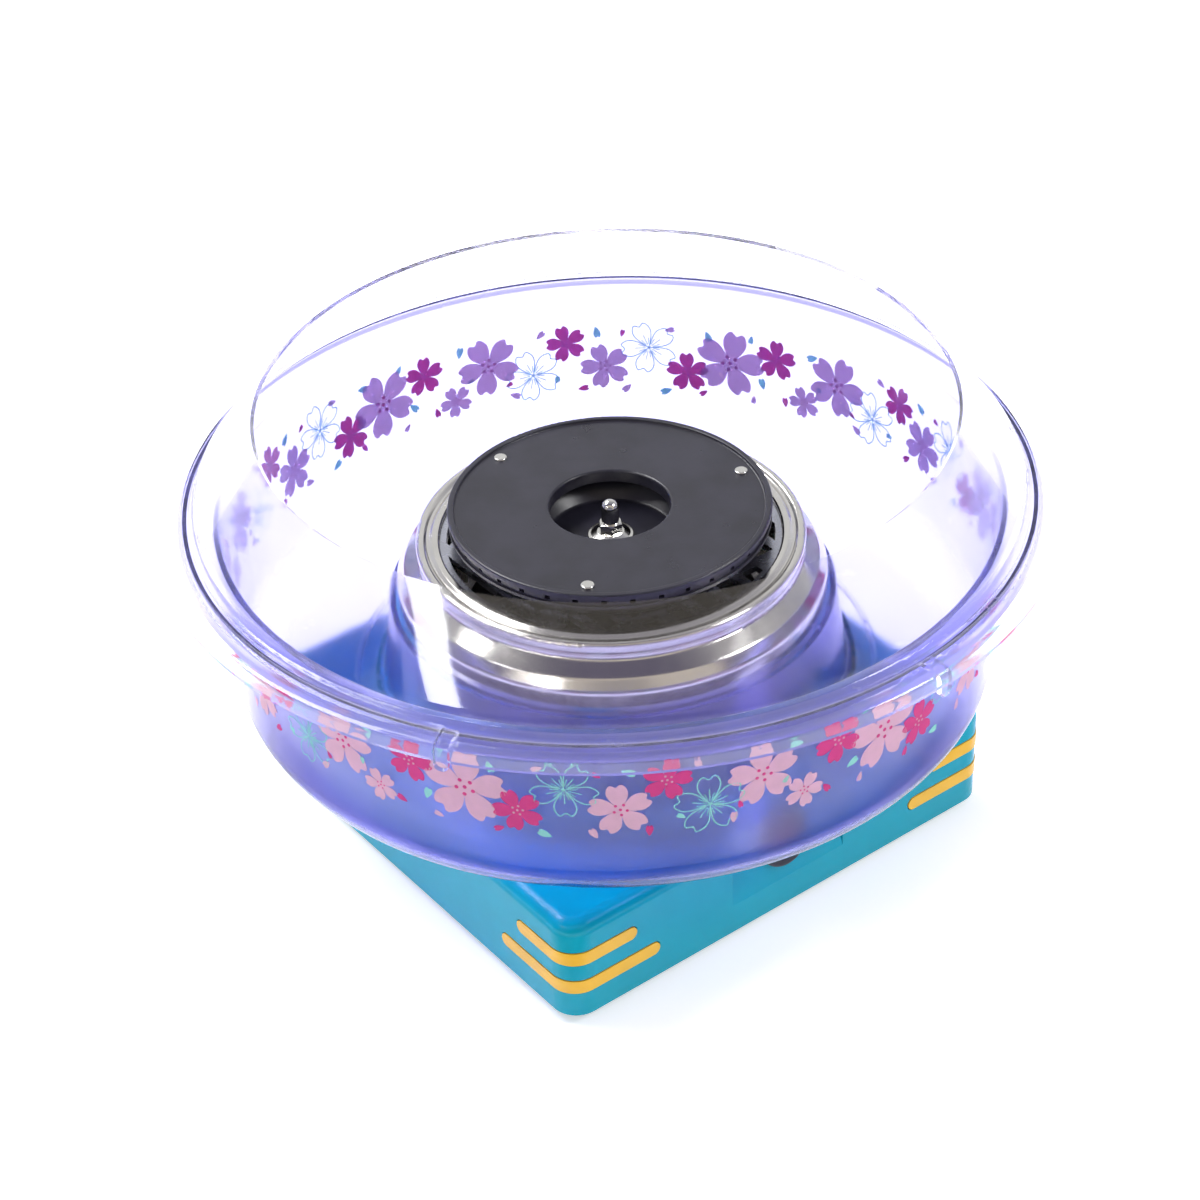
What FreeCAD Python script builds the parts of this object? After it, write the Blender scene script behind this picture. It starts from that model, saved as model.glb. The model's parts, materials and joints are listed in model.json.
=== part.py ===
import FreeCAD, Part
import math
import os

V = FreeCAD.Vector

# Table-top cotton candy machine. Millimetres, +Z up.
# Origin: under the middle of the base, on the surface that the feet stand on.
# The front face, with the rocker switch, looks along -Y.
# Bodies: base (stands still), rotor, switch rocker, bowl, splash shield.

# ---------------------------------------------------------------- driving sizes

# Clearances
PART_GAP = 0.05        # round pieces of one body that sit in each other
GLUE_GAP = 0.2         # magnets in the motor's can (radial)
RUNNING_GAP = 0.05     # shaft in bush, trunnion in its hole (radial)
SCREW_GAP = 0.15       # screw shank in a clearance hole (radial)
SCREW_SLOT = 0.8       # width of the slot in every screw's head
SLOT_GAP = 0.35        # dark line all round a corner stripe
PANEL_HOLE_GAP = 0.1   # switch and gland in their holes (radial)

# Hub ring: spun stainless sheet round the heater. Its wall sets the plinth and the bowl's collar.
SHEET = 1.0
HUB_R = 80.0
HUB_FOOT_WIDTH = 11.0
LIP_INSET = 8.0        # how far each bend of the lip lies inside the hub's wall
CREST_OUT_INSET = 10.6
VALLEY_INSET = 12.3
CREST_IN_INSET = 14.2
GROOVE_INSET = 9.4
SHOULDER_INSET = 3.0
LIP_DROP = 12.0        # from the head's top down to the crest of the lip
LIP_DEPTH = 3.8
CREST_IN_LOWER = 0.2
VALLEY_DEPTH = 1.3
GROOVE_DROP = 18.6
SHOULDER_DROP = 23.4
WALL_DROP = 27.5
HUB_SCREW_INSET = 5.5
HUB_SCREWS = 4
HUB_SCREW_R = 2.0
HUB_SCREW_HEAD_R = 3.6
HUB_SCREW_HEAD = 2.4
HUB_SCREW_PAST_NUT = 1.0
HUB_NUT_AF = 7.0
HUB_NUT_THICK = 3.2

# Base housing: square moulding, open below, with a round plinth on its deck
BASE_MARGIN = 6.0      # from the plinth's foot to the base's sides
BASE_HEIGHT = 42.0
BASE_CORNER_R = 10.0
BASE_EDGE_R = 5.5
BASE_WALL = 2.5
FOOT_PROUD = 4.0
PLINTH_RISE = 13.6
PLINTH_LEDGE = 12.0    # from the hub's wall to the plinth's upper edge
PLINTH_DRAFT = 2.0
PLINTH_EDGE_R = 1.0
PLINTH_WALL = 5.5
PLINTH_HOLE_INSET = 14.0

# Bottom plate, feet and their screws
PLATE_GAP = 0.2
PLATE_THICK = 2.5
VENT_FIELD_R = 34.0
VENT_SLOT = 3.5
VENT_PITCH = 8.0
BOSS_INSET = 16.0      # from the base's sides to each screw's middle
BOSS_R = 4.5
BOSS_DEPTH = 18.0
PLATE_SCREW_R = 1.75
PLATE_SCREW_HEAD_R = 3.4
PLATE_SCREW_LENGTH = 15.0
PLATE_SCREW_SUNK = 0.1
FOOT_INSET = 28.0
FOOT_R = 8.0
FOOT_TAPER = 1.0
FOOT_SUNK = 1.0
FOOT_POST_R = 4.0
FOOT_POST_RISE = 4.0
FOOT_SCREW_R = 1.7
FOOT_SCREW_HEAD_R = 3.0
FOOT_SCREW_HEAD = 1.6
FOOT_SCREW_SINK = 2.0
FOOT_SCREW_END_GAP = 2.0

# Yellow corner stripes: two per corner, moulded in one piece with a carrier
STRIPE_WIDTH = 5.5
STRIPE_PROUD = 0.3
UPPER_STRIPE_AT = 26.5
UPPER_STRIPE_REACH = 30.0
LOWER_STRIPE_AT = 13.5
LOWER_STRIPE_REACH = 40.0
CARRIER_THICK = 1.2
CARRIER_MARGIN = 2.5

# Switch panel: leans back into the front wall, flush at its lower edge
PANEL_LEFT = -26.0
PANEL_RIGHT = 27.0
PANEL_LOW_AT = 12.5
PANEL_LEAN = 11.0
SWITCH_X = 0.0
SWITCH_UP = 17.5       # from the panel's lower edge, along the panel
BEZEL_R = 11.75
BEZEL_THICK = 2.2
BEZEL_EDGE_R = 1.2
BARREL_R = 10.0
BARREL_LENGTH = 14.0
POCKET_R = 8.7
POCKET_DEPTH = 9.0
POCKET_BEVEL = 0.6
CATCH_PROUD = 0.9
CATCH_WIDTH = 4.0
CATCH_LENGTH = 4.3
CATCH_GAP = 0.2
ROCKER_R = 7.9
ROCKER_SWING_R = 8.2
ROCKER_AXIS_DEPTH = 1.0
ROCKER_CREST = 3.0     # rise of the rocker's waist over its axis
ROCKER_SKIRT = 4.0     # depth of its sides below the axis
ROCKER_WING = 10.0     # tilt of each half, in degrees
TRUNNION_R = 1.2
TRUNNION_REACH = 9.3
TRUNNION_END_GAP = 0.2
BLADE_WIDTH = 4.8
BLADE_THICK = 0.8
BLADE_LENGTH = 8.0
BLADE_PITCH = 5.0
BLADE_EYE_R = 0.9
BLADE_EYE_AT = 2.6     # from the blade's tip

# Cord gland in the rear wall
GLAND_X = 38.0
GLAND_UP = 16.0
GLAND_BORE_R = 3.2
GLAND_BARREL_R = 6.0
GLAND_HEAD_R = 8.0
GLAND_HEAD = 2.5
GLAND_BOOT = 9.0
GLAND_BOOT_ROOT = 2.2  # the boot's wall at its root and at its tip
GLAND_BOOT_TIP = 1.2
GLAND_INSIDE = 8.0
GLAND_NUT_AF = 15.0
GLAND_NUT_THICK = 4.0

# Motor, hung from a round bracket under the plinth
BRACKET_THICK = 1.5
BRACKET_INSET = 1.0    # from the hub's wall to the bracket's edge
BRACKET_BORE_R = 10.0
WINDOW_IN_R = 29.0
WINDOW_OUT_R = 61.0
SPOKE_WIDTH = 12.0
SPOKES = 6
DAMPER_THICK = 5.5
DAMPER_R = 5.0
DAMPER_ON_R = 15.5
MOTOR_R = 24.0
MOTOR_LENGTH = 39.0
MOTOR_WALL = 1.5
MOTOR_NECK_R = 8.0
MOTOR_NECK = 4.0
MOTOR_SCREW_R = 1.75
MOTOR_SCREW_BITE = 1.5
MOTOR_SCREW_HEAD_R = 3.3
MOTOR_SCREW_HEAD = 2.4
MOTOR_TAB_SUNK = 5.0
MOTOR_TAB_REACH = 7.0
MAGNET_THICK = 3.5
MAGNET_SPAN = 130.0
MAGNET_LENGTH = 26.0
AIR_GAP = 0.6
ARMATURE_LENGTH = 22.0
ARMATURE_POLES = 5
COIL_IN_R = 8.2
COIL_OUT_R = 15.8
COIL_WIDTH = 6.8
COIL_GAP = 0.1
COIL_PROUD = 1.8
SLOT_MOUTH = 2.8
COMMUTATOR_R = 5.0
COMMUTATOR_LENGTH = 5.0
BRUSH_WIDTH = 4.0
BRUSH_HEIGHT = 2.4
BRUSH_REACH_R = 13.0
BRUSH_GAP = 0.3
BRUSH_UP = 0.6         # from the commutator's lower end to the brushes
ROTOR_END_GAP = 0.4    # from the lower bush to the commutator
COIL_OVER_HOLDER = 0.6
HOLDER_WALL = 1.2
END_CAP_THICK = 3.0
SPIGOT = 1.5           # height and wall of the cap's spigot in the can
BUSH_COLLAR = 1.5      # wall of the cap's collar round the bush
BUSH_PROUD = 0.4       # how far the lower bush stands out of that collar
BUSH_R = 6.0
UPPER_BUSH_LENGTH = 7.0
LOWER_BUSH_LENGTH = 6.0
SHAFT_R = 3.0
SHAFT_END_GAP = 1.0    # from the lower bush's end to the shaft's end
THREAD_R = 2.5
THREAD_PAST_HEX = 1.5

# Rectifier board on two posts of the bottom plate
BOARD_Y = 62.0
BOARD_LENGTH = 36.0
BOARD_WIDTH = 22.0
BOARD_THICK = 1.6
BOARD_POST_R = 3.0
BOARD_POST_RISE = 6.0
BOARD_POST_X = 14.0
BOARD_SCREW_R = 1.3
BOARD_SCREW_HEAD_R = 2.4
BOARD_SCREW_HEAD = 1.8
BRIDGE_WIDTH = 15.0    # bridge rectifier
BRIDGE_THICK = 3.5
BRIDGE_HEIGHT = 11.0
BRIDGE_FROM_EDGE = 1.5
CAPACITOR_R = 5.0
CAPACITOR_HEIGHT = 12.0
CAPACITOR_FORWARD = 4.0
SOLDERED_IN = 0.5      # how far parts run into the board

# Fan
FAN_R = 56.0
FAN_OVER_BRACKET = 10.0
FAN_DEPTH = 16.0
FAN_DISC = 1.4
FAN_HUB_R = 9.0
FAN_BLADES = 9
FAN_BLADE_THICK = 1.4
FAN_BLADE_IN_R = 18.0
FAN_BLADE_OUT_R = 55.0
FAN_BLADE_BEND_R = 38.0
FAN_BLADE_BEND_AT = 34.0
FAN_BLADE_TAPER = 4.0

# Guard grille and heater
GUARD_INSET = 16.9     # from the hub's wall to the guard's edge
GUARD_WIDTH = 23.1
GUARD_DROP = 14.0      # from the head's top down to the guard's top
GUARD_THICK = 2.4
GUARD_RIM = 2.4
GUARD_INNER_RIM = 3.0
BAR_PITCH = 11.6
BAR_WIDTH = 4.2
CROSS_BAR_PITCH = 39.1
CROSS_BAR_SHIFT = -9.8
SMALLEST_CELL = 10.0   # square millimetres; smaller corners stay closed
LEDGE_WIDTH = 2.6      # how far the hub's ledge reaches under the guard
CLAMP_INSET = 7.6
CLAMP_ANGLES = (90.0, 210.0, 330.0)
CLAMP_PAD_R = 5.5
PAD_MARGIN = 1.0       # solid guard left round the bushes and the cut-out
CLAMP_BOSS_R = 4.5
CLAMP_SCREW_R = 1.5
CLAMP_SCREW_HEAD_R = 2.8
CLAMP_SCREW_HEAD = 2.0
CLAMP_SCREW_END_GAP = 0.4
CLAMP_SCREW_COVER = 0.8
CLAMP_WIDTH = 8.0
CLAMP_THICK = 1.2
CLAMP_SHORT = 0.6      # from the clamp's end to the guard's edge
HEATER_INSET = 16.1    # from the guard's edge to the middle of the heater's tube
REFLECTOR_HALF = 4.5
REFLECTOR_DRAFT = 0.2
REFLECTOR_SHEET = 0.6
REFLECTOR_WALL = 2.0
HEATER_TUBE_R = 2.3
HEATER_RISE = 3.2      # tube's middle over the reflector's floor
CRADLES = 3
CRADLE_WIDTH = 6.0
CERAMIC_ANGLES = (35.0, 55.0)
CERAMIC_R = 3.4
CERAMIC_FLANGE_R = 5.2
CERAMIC_LENGTH = 9.0
CERAMIC_FLANGE = 1.5
CERAMIC_PROUD = 0.2
TERMINAL_R = 1.2
TERMINAL_LENGTH = 14.0
CUTOUT_ANGLE = 150.0
CUTOUT_R = 6.5
CUTOUT_INSET = 3.0     # inwards from the clamps' circle
CUTOUT_CAP = 1.6
CUTOUT_BODY_INSET = 0.8
CUTOUT_DEPTH = 6.0
CUTOUT_TAB_AT = 3.0
CUTOUT_TAB_WIDTH = 3.2
CUTOUT_TAB_LENGTH = 5.0

# Spinning head
HEAD_RISE = 71.0       # plinth's top to the head's top
HEAD_R = 59.6
LID_THICK = 1.2
LID_SUNK = 1.0         # the lid's flat below its raised rim
LID_RIM = 2.5
SUGAR_HOLE_R = 22.3
WELL_LIP_DROP = 5.0
BAND_HEIGHT = 2.8
BAND_THICK = 1.2
BAND_INSET = 1.0       # from the lid's edge
BAND_SLOTS = 36
BAND_SLOT_WIDTH = 2.0
BAND_SLOT_HEIGHT = 1.6
PAN_THICK = 1.2
PAN_INSET = 0.2        # from the lid's edge
PAN_WELL_R = 24.0
PAN_CONE_R = 35.0
PAN_WELL_DROP = 15.6   # from the head's top down to the well's floor
PAN_HUB_R = 9.0
PAN_HUB_RISE = 0.8
RIVETS = 3
RIVET_ON_R = 52.5
RIVET_TURN = 103.5
RIVET_HEAD_R = 2.5
RIVET_HEAD = 0.9
RIVET_TAIL_R = 1.9
RIVET_TAIL = 0.8
RIVET_R = 1.2
SPACER_R = 2.3
COLLAR_R = 7.0
COLLAR_LENGTH = 10.0
COLLAR_FLANGE = 1.5
COLLAR_TAPER = 1.0
DRIVE_PIN_R = 1.25
DRIVE_PIN_PROUD = 0.8
WASHER_R = 8.5
WASHER_RIM = 1.2       # flat rim that bears on the pan's boss
WASHER_SLOPE = 2.3     # width of the slope between rim and middle
WASHER_DISH = 1.3
WASHER_THICK = 0.9
NUT_AF = 8.0
NUT_HEX = 4.0
NUT_DOME_R = 3.3
NUT_HEIGHT = 13.2

# Bowl
BOWL_WALL = 2.2
BOWL_COLLAR_GAP = 1.0
BOWL_COLLAR_FLARE = 8.0    # from the hub's wall to the collar's foot
BOWL_COLLAR_FILLET = 1.8
BOWL_COLLAR_RISE = 35.0
SEAT_STEP_AT = 18.0        # from the hub's wall to the step that centres the bowl
SEAT_STEP = 1.2
BOWL_RIM_OUT_R = 157.0
BOWL_RIM_WIDTH = 15.2
BOWL_WALL_DRAFT = 2.3
BOWL_FLOOR_FILLET = 16.0
BOWL_RIM_LAND = 4.0
BOWL_RIM_OVER_HEAD = 8.2
BOWL_RIM_RISE = 1.9
BOWL_RIM_TURN = 4.2
BOWL_RIM_FLARE = 0.3

# Splash shield: it stands on the bowl's rim
SHIELD_WALL = 1.5
SHIELD_TOP_INSET = 29.9    # how far its bends lie inside the bowl's rim
SHIELD_NECK_INSET = 6.7
SHIELD_FOOT_INSET = 5.8
SHIELD_TOP_OVER_HEAD = 45.1
SHIELD_TOP_LIP = 0.6
SHIELD_NECK_OVER_HEAD = 15.0
SHIELD_FLANGE_OVER_RIM = 3.4
SHIELD_SKIRT_OUTSIDE = 8.5
SHIELD_SKIRT_DROP = 6.1
SHIELD_SKIRT_DRAFT = 0.3
SHIELD_BEAD = 2.5
CLIPS = 6
CLIP_TURN = 33.3
CLIP_WIDTH = 5.0
CLIP_THICK = 1.8
CLIP_REACH = 9.0
CLIP_BELOW = 2.2
CLIP_SUNK = 0.3        # how far a clip runs into the flange and the skirt

# ---------------------------------------------------------------- sizes that follow

LIP_R = HUB_R - LIP_INSET
HUB_SCREW_ON_R = HUB_R - HUB_SCREW_INSET
PLINTH_TOP_R = HUB_R + PLINTH_LEDGE
PLINTH_FOOT_R = PLINTH_TOP_R + PLINTH_DRAFT
PLINTH_HOLE_R = HUB_R - PLINTH_HOLE_INSET
BASE_SIDE = 2 * (PLINTH_FOOT_R + BASE_MARGIN)
HALF = BASE_SIDE / 2
BOSS_AT = HALF - BOSS_INSET
FOOT_AT = HALF - FOOT_INSET
BRACKET_R = HUB_R - BRACKET_INSET
GUARD_R = HUB_R - GUARD_INSET
GUARD_IN_R = GUARD_R - GUARD_WIDTH
CLAMP_ON_R = GUARD_R - CLAMP_INSET
HEATER_R = GUARD_R - HEATER_INSET
CUTOUT_ON_R = CLAMP_ON_R - CUTOUT_INSET
BOWL_RIM_IN_R = BOWL_RIM_OUT_R - BOWL_RIM_WIDTH
BOWL_FLOOR_R = BOWL_RIM_IN_R - BOWL_WALL_DRAFT
SHIELD_TOP_R = BOWL_RIM_OUT_R - SHIELD_TOP_INSET
SHIELD_NECK_R = BOWL_RIM_OUT_R - SHIELD_NECK_INSET
SHIELD_FOOT_R = BOWL_RIM_OUT_R - SHIELD_FOOT_INSET
SHIELD_SKIRT_R = BOWL_RIM_OUT_R + SHIELD_SKIRT_OUTSIDE

# Levels, from the table up
BASE_LOW = FOOT_PROUD
DECK = BASE_LOW + BASE_HEIGHT
PLINTH = DECK + PLINTH_RISE
PLINTH_UNDER = PLINTH - BASE_WALL
PLATE_TOP = BASE_LOW + PLATE_THICK
BRACKET_TOP = PLINTH_UNDER
BRACKET_LOW = BRACKET_TOP - BRACKET_THICK
MOTOR_TOP = BRACKET_LOW - DAMPER_THICK
MOTOR_LOW = MOTOR_TOP - MOTOR_LENGTH
MAGNET_IN_R = MOTOR_R - MOTOR_WALL - MAGNET_THICK
CORE_R = MAGNET_IN_R - AIR_GAP
COMMUTATOR_LOW = MOTOR_LOW + LOWER_BUSH_LENGTH + ROTOR_END_GAP
BRUSH_LOW = COMMUTATOR_LOW + BRUSH_UP
HOLDER_TOP = BRUSH_LOW + BRUSH_HEIGHT + HOLDER_WALL
ARMATURE_LOW = HOLDER_TOP + COIL_OVER_HOLDER + COIL_PROUD
ARMATURE_TOP = ARMATURE_LOW + ARMATURE_LENGTH
BOARD_LOW = PLATE_TOP + BOARD_POST_RISE
HEAD_TOP = PLINTH + HEAD_RISE
LID_TOP = HEAD_TOP - LID_SUNK
LID_LOW = LID_TOP - LID_THICK
PAN_TOP = LID_LOW - BAND_HEIGHT
PAN_LOW = PAN_TOP - PAN_THICK
WELL_FLOOR = HEAD_TOP - PAN_WELL_DROP
WELL_UNDER = WELL_FLOOR - PAN_THICK
PAN_HUB_TOP = WELL_FLOOR + PAN_HUB_RISE
WASHER_TOP = PAN_HUB_TOP + WASHER_DISH + WASHER_THICK
GUARD_TOP = HEAD_TOP - GUARD_DROP
GUARD_LOW = GUARD_TOP - GUARD_THICK
LEDGE_LOW = GUARD_LOW - SHEET
REFLECTOR_TOP = GUARD_TOP + REFLECTOR_SHEET
HEATER_MID = REFLECTOR_TOP + HEATER_RISE
COLLAR_TOP = WELL_UNDER
COLLAR_LOW = COLLAR_TOP - COLLAR_LENGTH
FAN_LOW = BRACKET_TOP + FAN_OVER_BRACKET
FAN_TOP = FAN_LOW + FAN_DEPTH
RIM_TOP = HEAD_TOP + BOWL_RIM_OVER_HEAD
FLANGE_TOP = RIM_TOP + SHIELD_FLANGE_OVER_RIM


# ---------------------------------------------------------------- drawing helpers

def polar(radius, degrees):
    angle = math.radians(degrees)
    return radius * math.cos(angle), radius * math.sin(angle)


def outline(corners):
    """A closed wire in the XZ plane from (x, z, corner radius) entries."""
    points = [V(x, 0, z) for x, z, _ in corners]
    starts, ends, middles = [], [], []
    for i, (_, _, radius) in enumerate(corners):
        here = points[i]
        to_last = (points[i - 1] - here).normalize()
        to_next = (points[(i + 1) % len(points)] - here).normalize()
        half = to_last.getAngle(to_next) / 2
        if radius <= 0 or half > math.pi / 2 - 0.01:
            starts.append(here)
            ends.append(here)
            middles.append(None)
            continue
        setback = radius / math.tan(half)
        centre = here + (to_last + to_next).normalize() * (radius / math.sin(half))
        starts.append(here + to_last * setback)
        ends.append(here + to_next * setback)
        middles.append(centre + (here - centre).normalize() * radius)
    edges = []
    for i in range(len(points)):
        if middles[i] is not None:
            edges.append(Part.Arc(starts[i], middles[i], ends[i]).toShape())
        following = starts[(i + 1) % len(points)]
        if ends[i].distanceToPoint(following) > 1e-6:
            edges.append(Part.LineSegment(ends[i], following).toShape())
    return Part.Wire(edges)


def turned(corners):
    """A solid turned about Z from a closed (radius, z, corner radius) section."""
    face = Part.Face(outline(corners))
    return face.revolve(V(0, 0, 0), V(0, 0, 1), 360)


def sheet_section(path, thick):
    """Closed section of a sheet: path is its outer side, the wall lies to the right."""
    points = [V(r, 0, z) for r, z, _ in path]
    far = []
    for i, (_, _, radius) in enumerate(path):
        last = (points[i] - points[i - 1]).normalize() if i else None
        following = (points[i + 1] - points[i]).normalize() if i + 1 < len(points) else None
        if last is None:
            last = following
        if following is None:
            following = last
        right_last = V(last.z, 0, -last.x)
        right_next = V(following.z, 0, -following.x)
        mitre = (right_last + right_next).normalize()
        corner = points[i] + mitre * (thick / mitre.dot(right_next))
        turns_right = last.dot(right_next) < 0
        far_radius = max(radius - thick, 0) if turns_right else radius + thick
        far.append((corner.x, corner.z, far_radius if radius > 0 else 0))
    return list(path) + far[::-1]


def cylinder(radius, low, high, x=0.0, y=0.0):
    return Part.makeCylinder(radius, high - low, V(x, y, low))


def ring(outer, inner, low, high, x=0.0, y=0.0):
    return cylinder(outer, low, high, x, y).cut(cylinder(inner, low - 1, high + 1, x, y))


def block(x0, x1, y0, y1, z0, z1):
    return Part.makeBox(x1 - x0, y1 - y0, z1 - z0, V(x0, y0, z0))


def hexagon(across_flats, low, high, x=0.0, y=0.0):
    radius = across_flats / math.sqrt(3)
    points = [V(x, y, low) + V(*polar(radius, 60 * i), 0) for i in range(7)]
    return Part.Face(Part.makePolygon(points)).extrude(V(0, 0, high - low))


def spun(shape, degrees):
    copy = shape.copy()
    copy.rotate(V(0, 0, 0), V(0, 0, 1), degrees)
    return copy


def around(shape, count, start=0.0):
    return [spun(shape, start + i * 360.0 / count) for i in range(count)]


def fused(shapes):
    whole = shapes[0].multiFuse(shapes[1:]) if len(shapes) > 1 else shapes[0]
    return whole.removeSplitter()


def edges_at(shape, test):
    return [e for e in shape.Edges if all(test(v.Point) for v in e.Vertexes)]


def rounded_square(side, corner, low, high):
    half = side / 2
    body = block(-half, half, -half, half, low, high)
    uprights = [e for e in body.Edges if abs(e.Vertexes[0].Z - e.Vertexes[1].Z) > 1e-6]
    return body.makeFillet(corner, uprights)


def corners_of_square(at):
    return [(at, at), (-at, at), (-at, -at), (at, -at)]


def pan_screw(radius, head_r, head, length):
    """Screw along Z with its head's seat at z = 0, pointing down."""
    shoulder = head * 0.55
    body = turned([
        (0, head, 0), (head_r * 0.6, head, head * 0.4), (head_r, shoulder, head * 0.2),
        (head_r, 0, 0), (radius, 0, 0), (radius, -length, radius * 0.3), (0, -length, 0)])
    half_slot = SCREW_SLOT / 2
    return body.cut(block(-head_r, head_r, -half_slot, half_slot, shoulder, head + 1))


def moved(shape, x, y, z):
    copy = shape.copy()
    copy.translate(V(x, y, z))
    return copy


def flipped(shape):
    copy = shape.copy()
    copy.rotate(V(0, 0, 0), V(1, 0, 0), 180)
    return copy


def save(name, solids):
    shape = Part.makeCompound(solids) if isinstance(solids, list) else solids
    shape.exportStep("parts/" + name + ".step")


# ---------------------------------------------------------------- base housing

def corner_band(outward, inward, width, at, reach, grow=0.0):
    """Stripe round the +X +Y corner, from outward past the wall's face to inward behind it."""
    half = width / 2 + grow
    low, high = BASE_LOW + at - half, BASE_LOW + at + half
    outer = rounded_square(BASE_SIDE + 2 * outward, BASE_CORNER_R + outward, low, high)
    inner = rounded_square(BASE_SIDE - 2 * inward, BASE_CORNER_R - inward, low - 1, high + 1)
    band = outer.cut(inner)
    straight = HALF - reach - grow + half
    far = HALF + outward + 1
    strip = band.common(block(straight, far, straight, far, low - 1, high + 1))
    ends = [
        Part.makeCylinder(half, outward + inward, V(straight, HALF - inward, BASE_LOW + at), V(0, 1, 0)),
        Part.makeCylinder(half, outward + inward, V(HALF - inward, straight, BASE_LOW + at), V(1, 0, 0))]
    return fused([strip] + ends)


def panel_wedge(extra_depth, extra_side):
    """Everything in front of the leaning switch panel, or of a plane set deeper behind it."""
    foot = BASE_LOW + PANEL_LOW_AT
    lean = math.tan(math.radians(PANEL_LEAN))
    deeper = extra_depth / math.cos(math.radians(PANEL_LEAN))
    front = -HALF - 1
    low = foot - (1 + deeper) / lean
    points = [
        V(0, front, low), V(0, -HALF + deeper + lean * (DECK - foot), DECK),
        V(0, front, DECK), V(0, front, low)]
    width = PANEL_RIGHT - PANEL_LEFT + 2 * extra_side
    wedge = Part.Face(Part.makePolygon(points)).extrude(V(width, 0, 0))
    wedge.translate(V(PANEL_LEFT - extra_side, 0, 0))
    return wedge


def to_panel(shape):
    """Carry a shape drawn about Z, outside up, to the switch's place on the leaning panel."""
    copy = shape.copy()
    copy.rotate(V(0, 0, 0), V(1, 0, 0), 90 - PANEL_LEAN)
    lean = math.radians(PANEL_LEAN)
    copy.translate(V(
        SWITCH_X,
        -HALF + SWITCH_UP * math.sin(lean),
        BASE_LOW + PANEL_LOW_AT + SWITCH_UP * math.cos(lean)))
    return copy


def to_rear(shape):
    """Carry a shape drawn about Z, outside up, to the gland's place on the rear wall."""
    copy = shape.copy()
    copy.rotate(V(0, 0, 0), V(1, 0, 0), -90)
    copy.translate(V(GLAND_X, HALF, BASE_LOW + GLAND_UP))
    return copy


def hub_screw_places():
    return [polar(HUB_SCREW_ON_R, 45 + 360.0 / HUB_SCREWS * i) for i in range(HUB_SCREWS)]


def base_housing():
    shell = rounded_square(BASE_SIDE, BASE_CORNER_R, BASE_LOW, DECK)
    shell = shell.makeFillet(BASE_EDGE_R, edges_at(shell, lambda p: abs(p.z - DECK) < 1e-6))
    shell = shell.cut(panel_wedge(0, 0))
    plinth = turned([
        (0, DECK - 1, 0), (PLINTH_FOOT_R, DECK - 1, 0), (PLINTH_FOOT_R, DECK, 0),
        (PLINTH_TOP_R, PLINTH, PLINTH_EDGE_R), (0, PLINTH, 0)])
    shell = shell.fuse(plinth)

    inner_side = BASE_SIDE - 2 * BASE_WALL
    room = rounded_square(inner_side, BASE_CORNER_R - BASE_WALL, BASE_LOW - 1, DECK - BASE_WALL)
    top_edges = edges_at(room, lambda p: abs(p.z - DECK + BASE_WALL) < 1e-6)
    room = room.makeFillet(BASE_EDGE_R - BASE_WALL, top_edges)
    room = room.cut(panel_wedge(BASE_WALL, BASE_WALL))
    plinth_room = turned([
        (0, DECK - BASE_WALL - 1, 0), (PLINTH_FOOT_R - PLINTH_WALL, DECK - BASE_WALL - 1, 0),
        (PLINTH_FOOT_R - PLINTH_WALL - 1, PLINTH_UNDER, 0), (0, PLINTH_UNDER, 0)])
    shell = shell.cut(room).cut(plinth_room)
    shell = shell.cut(cylinder(PLINTH_HOLE_R, PLINTH_UNDER - 1, PLINTH + 1))

    bosses = [cylinder(BOSS_R, PLATE_TOP, DECK - BASE_WALL / 2, x, y) for x, y in corners_of_square(BOSS_AT)]
    shell = fused([shell] + bosses)
    pilots = [cylinder(PLATE_SCREW_R + PART_GAP, PLATE_TOP - 1, PLATE_TOP + BOSS_DEPTH, x, y)
              for x, y in corners_of_square(BOSS_AT)]
    hub_holes = [cylinder(HUB_SCREW_R + SCREW_GAP, PLINTH_UNDER - 1, PLINTH + 1, x, y)
                 for x, y in hub_screw_places()]
    switch_hole = to_panel(cylinder(BARREL_R + PANEL_HOLE_GAP, -2 * BASE_WALL - 2, 1))
    gland_hole = to_rear(cylinder(GLAND_BARREL_R + PANEL_HOLE_GAP, -2 * BASE_WALL, 1))
    slots = []
    for at, reach in ((UPPER_STRIPE_AT, UPPER_STRIPE_REACH), (LOWER_STRIPE_AT, LOWER_STRIPE_REACH)):
        slot = corner_band(1, BASE_WALL + 1, STRIPE_WIDTH, at, reach, SLOT_GAP)
        slots += around(slot, 4)
    for tool in pilots + hub_holes + [switch_hole, gland_hole] + slots:
        shell = shell.cut(tool)
    return shell


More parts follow.
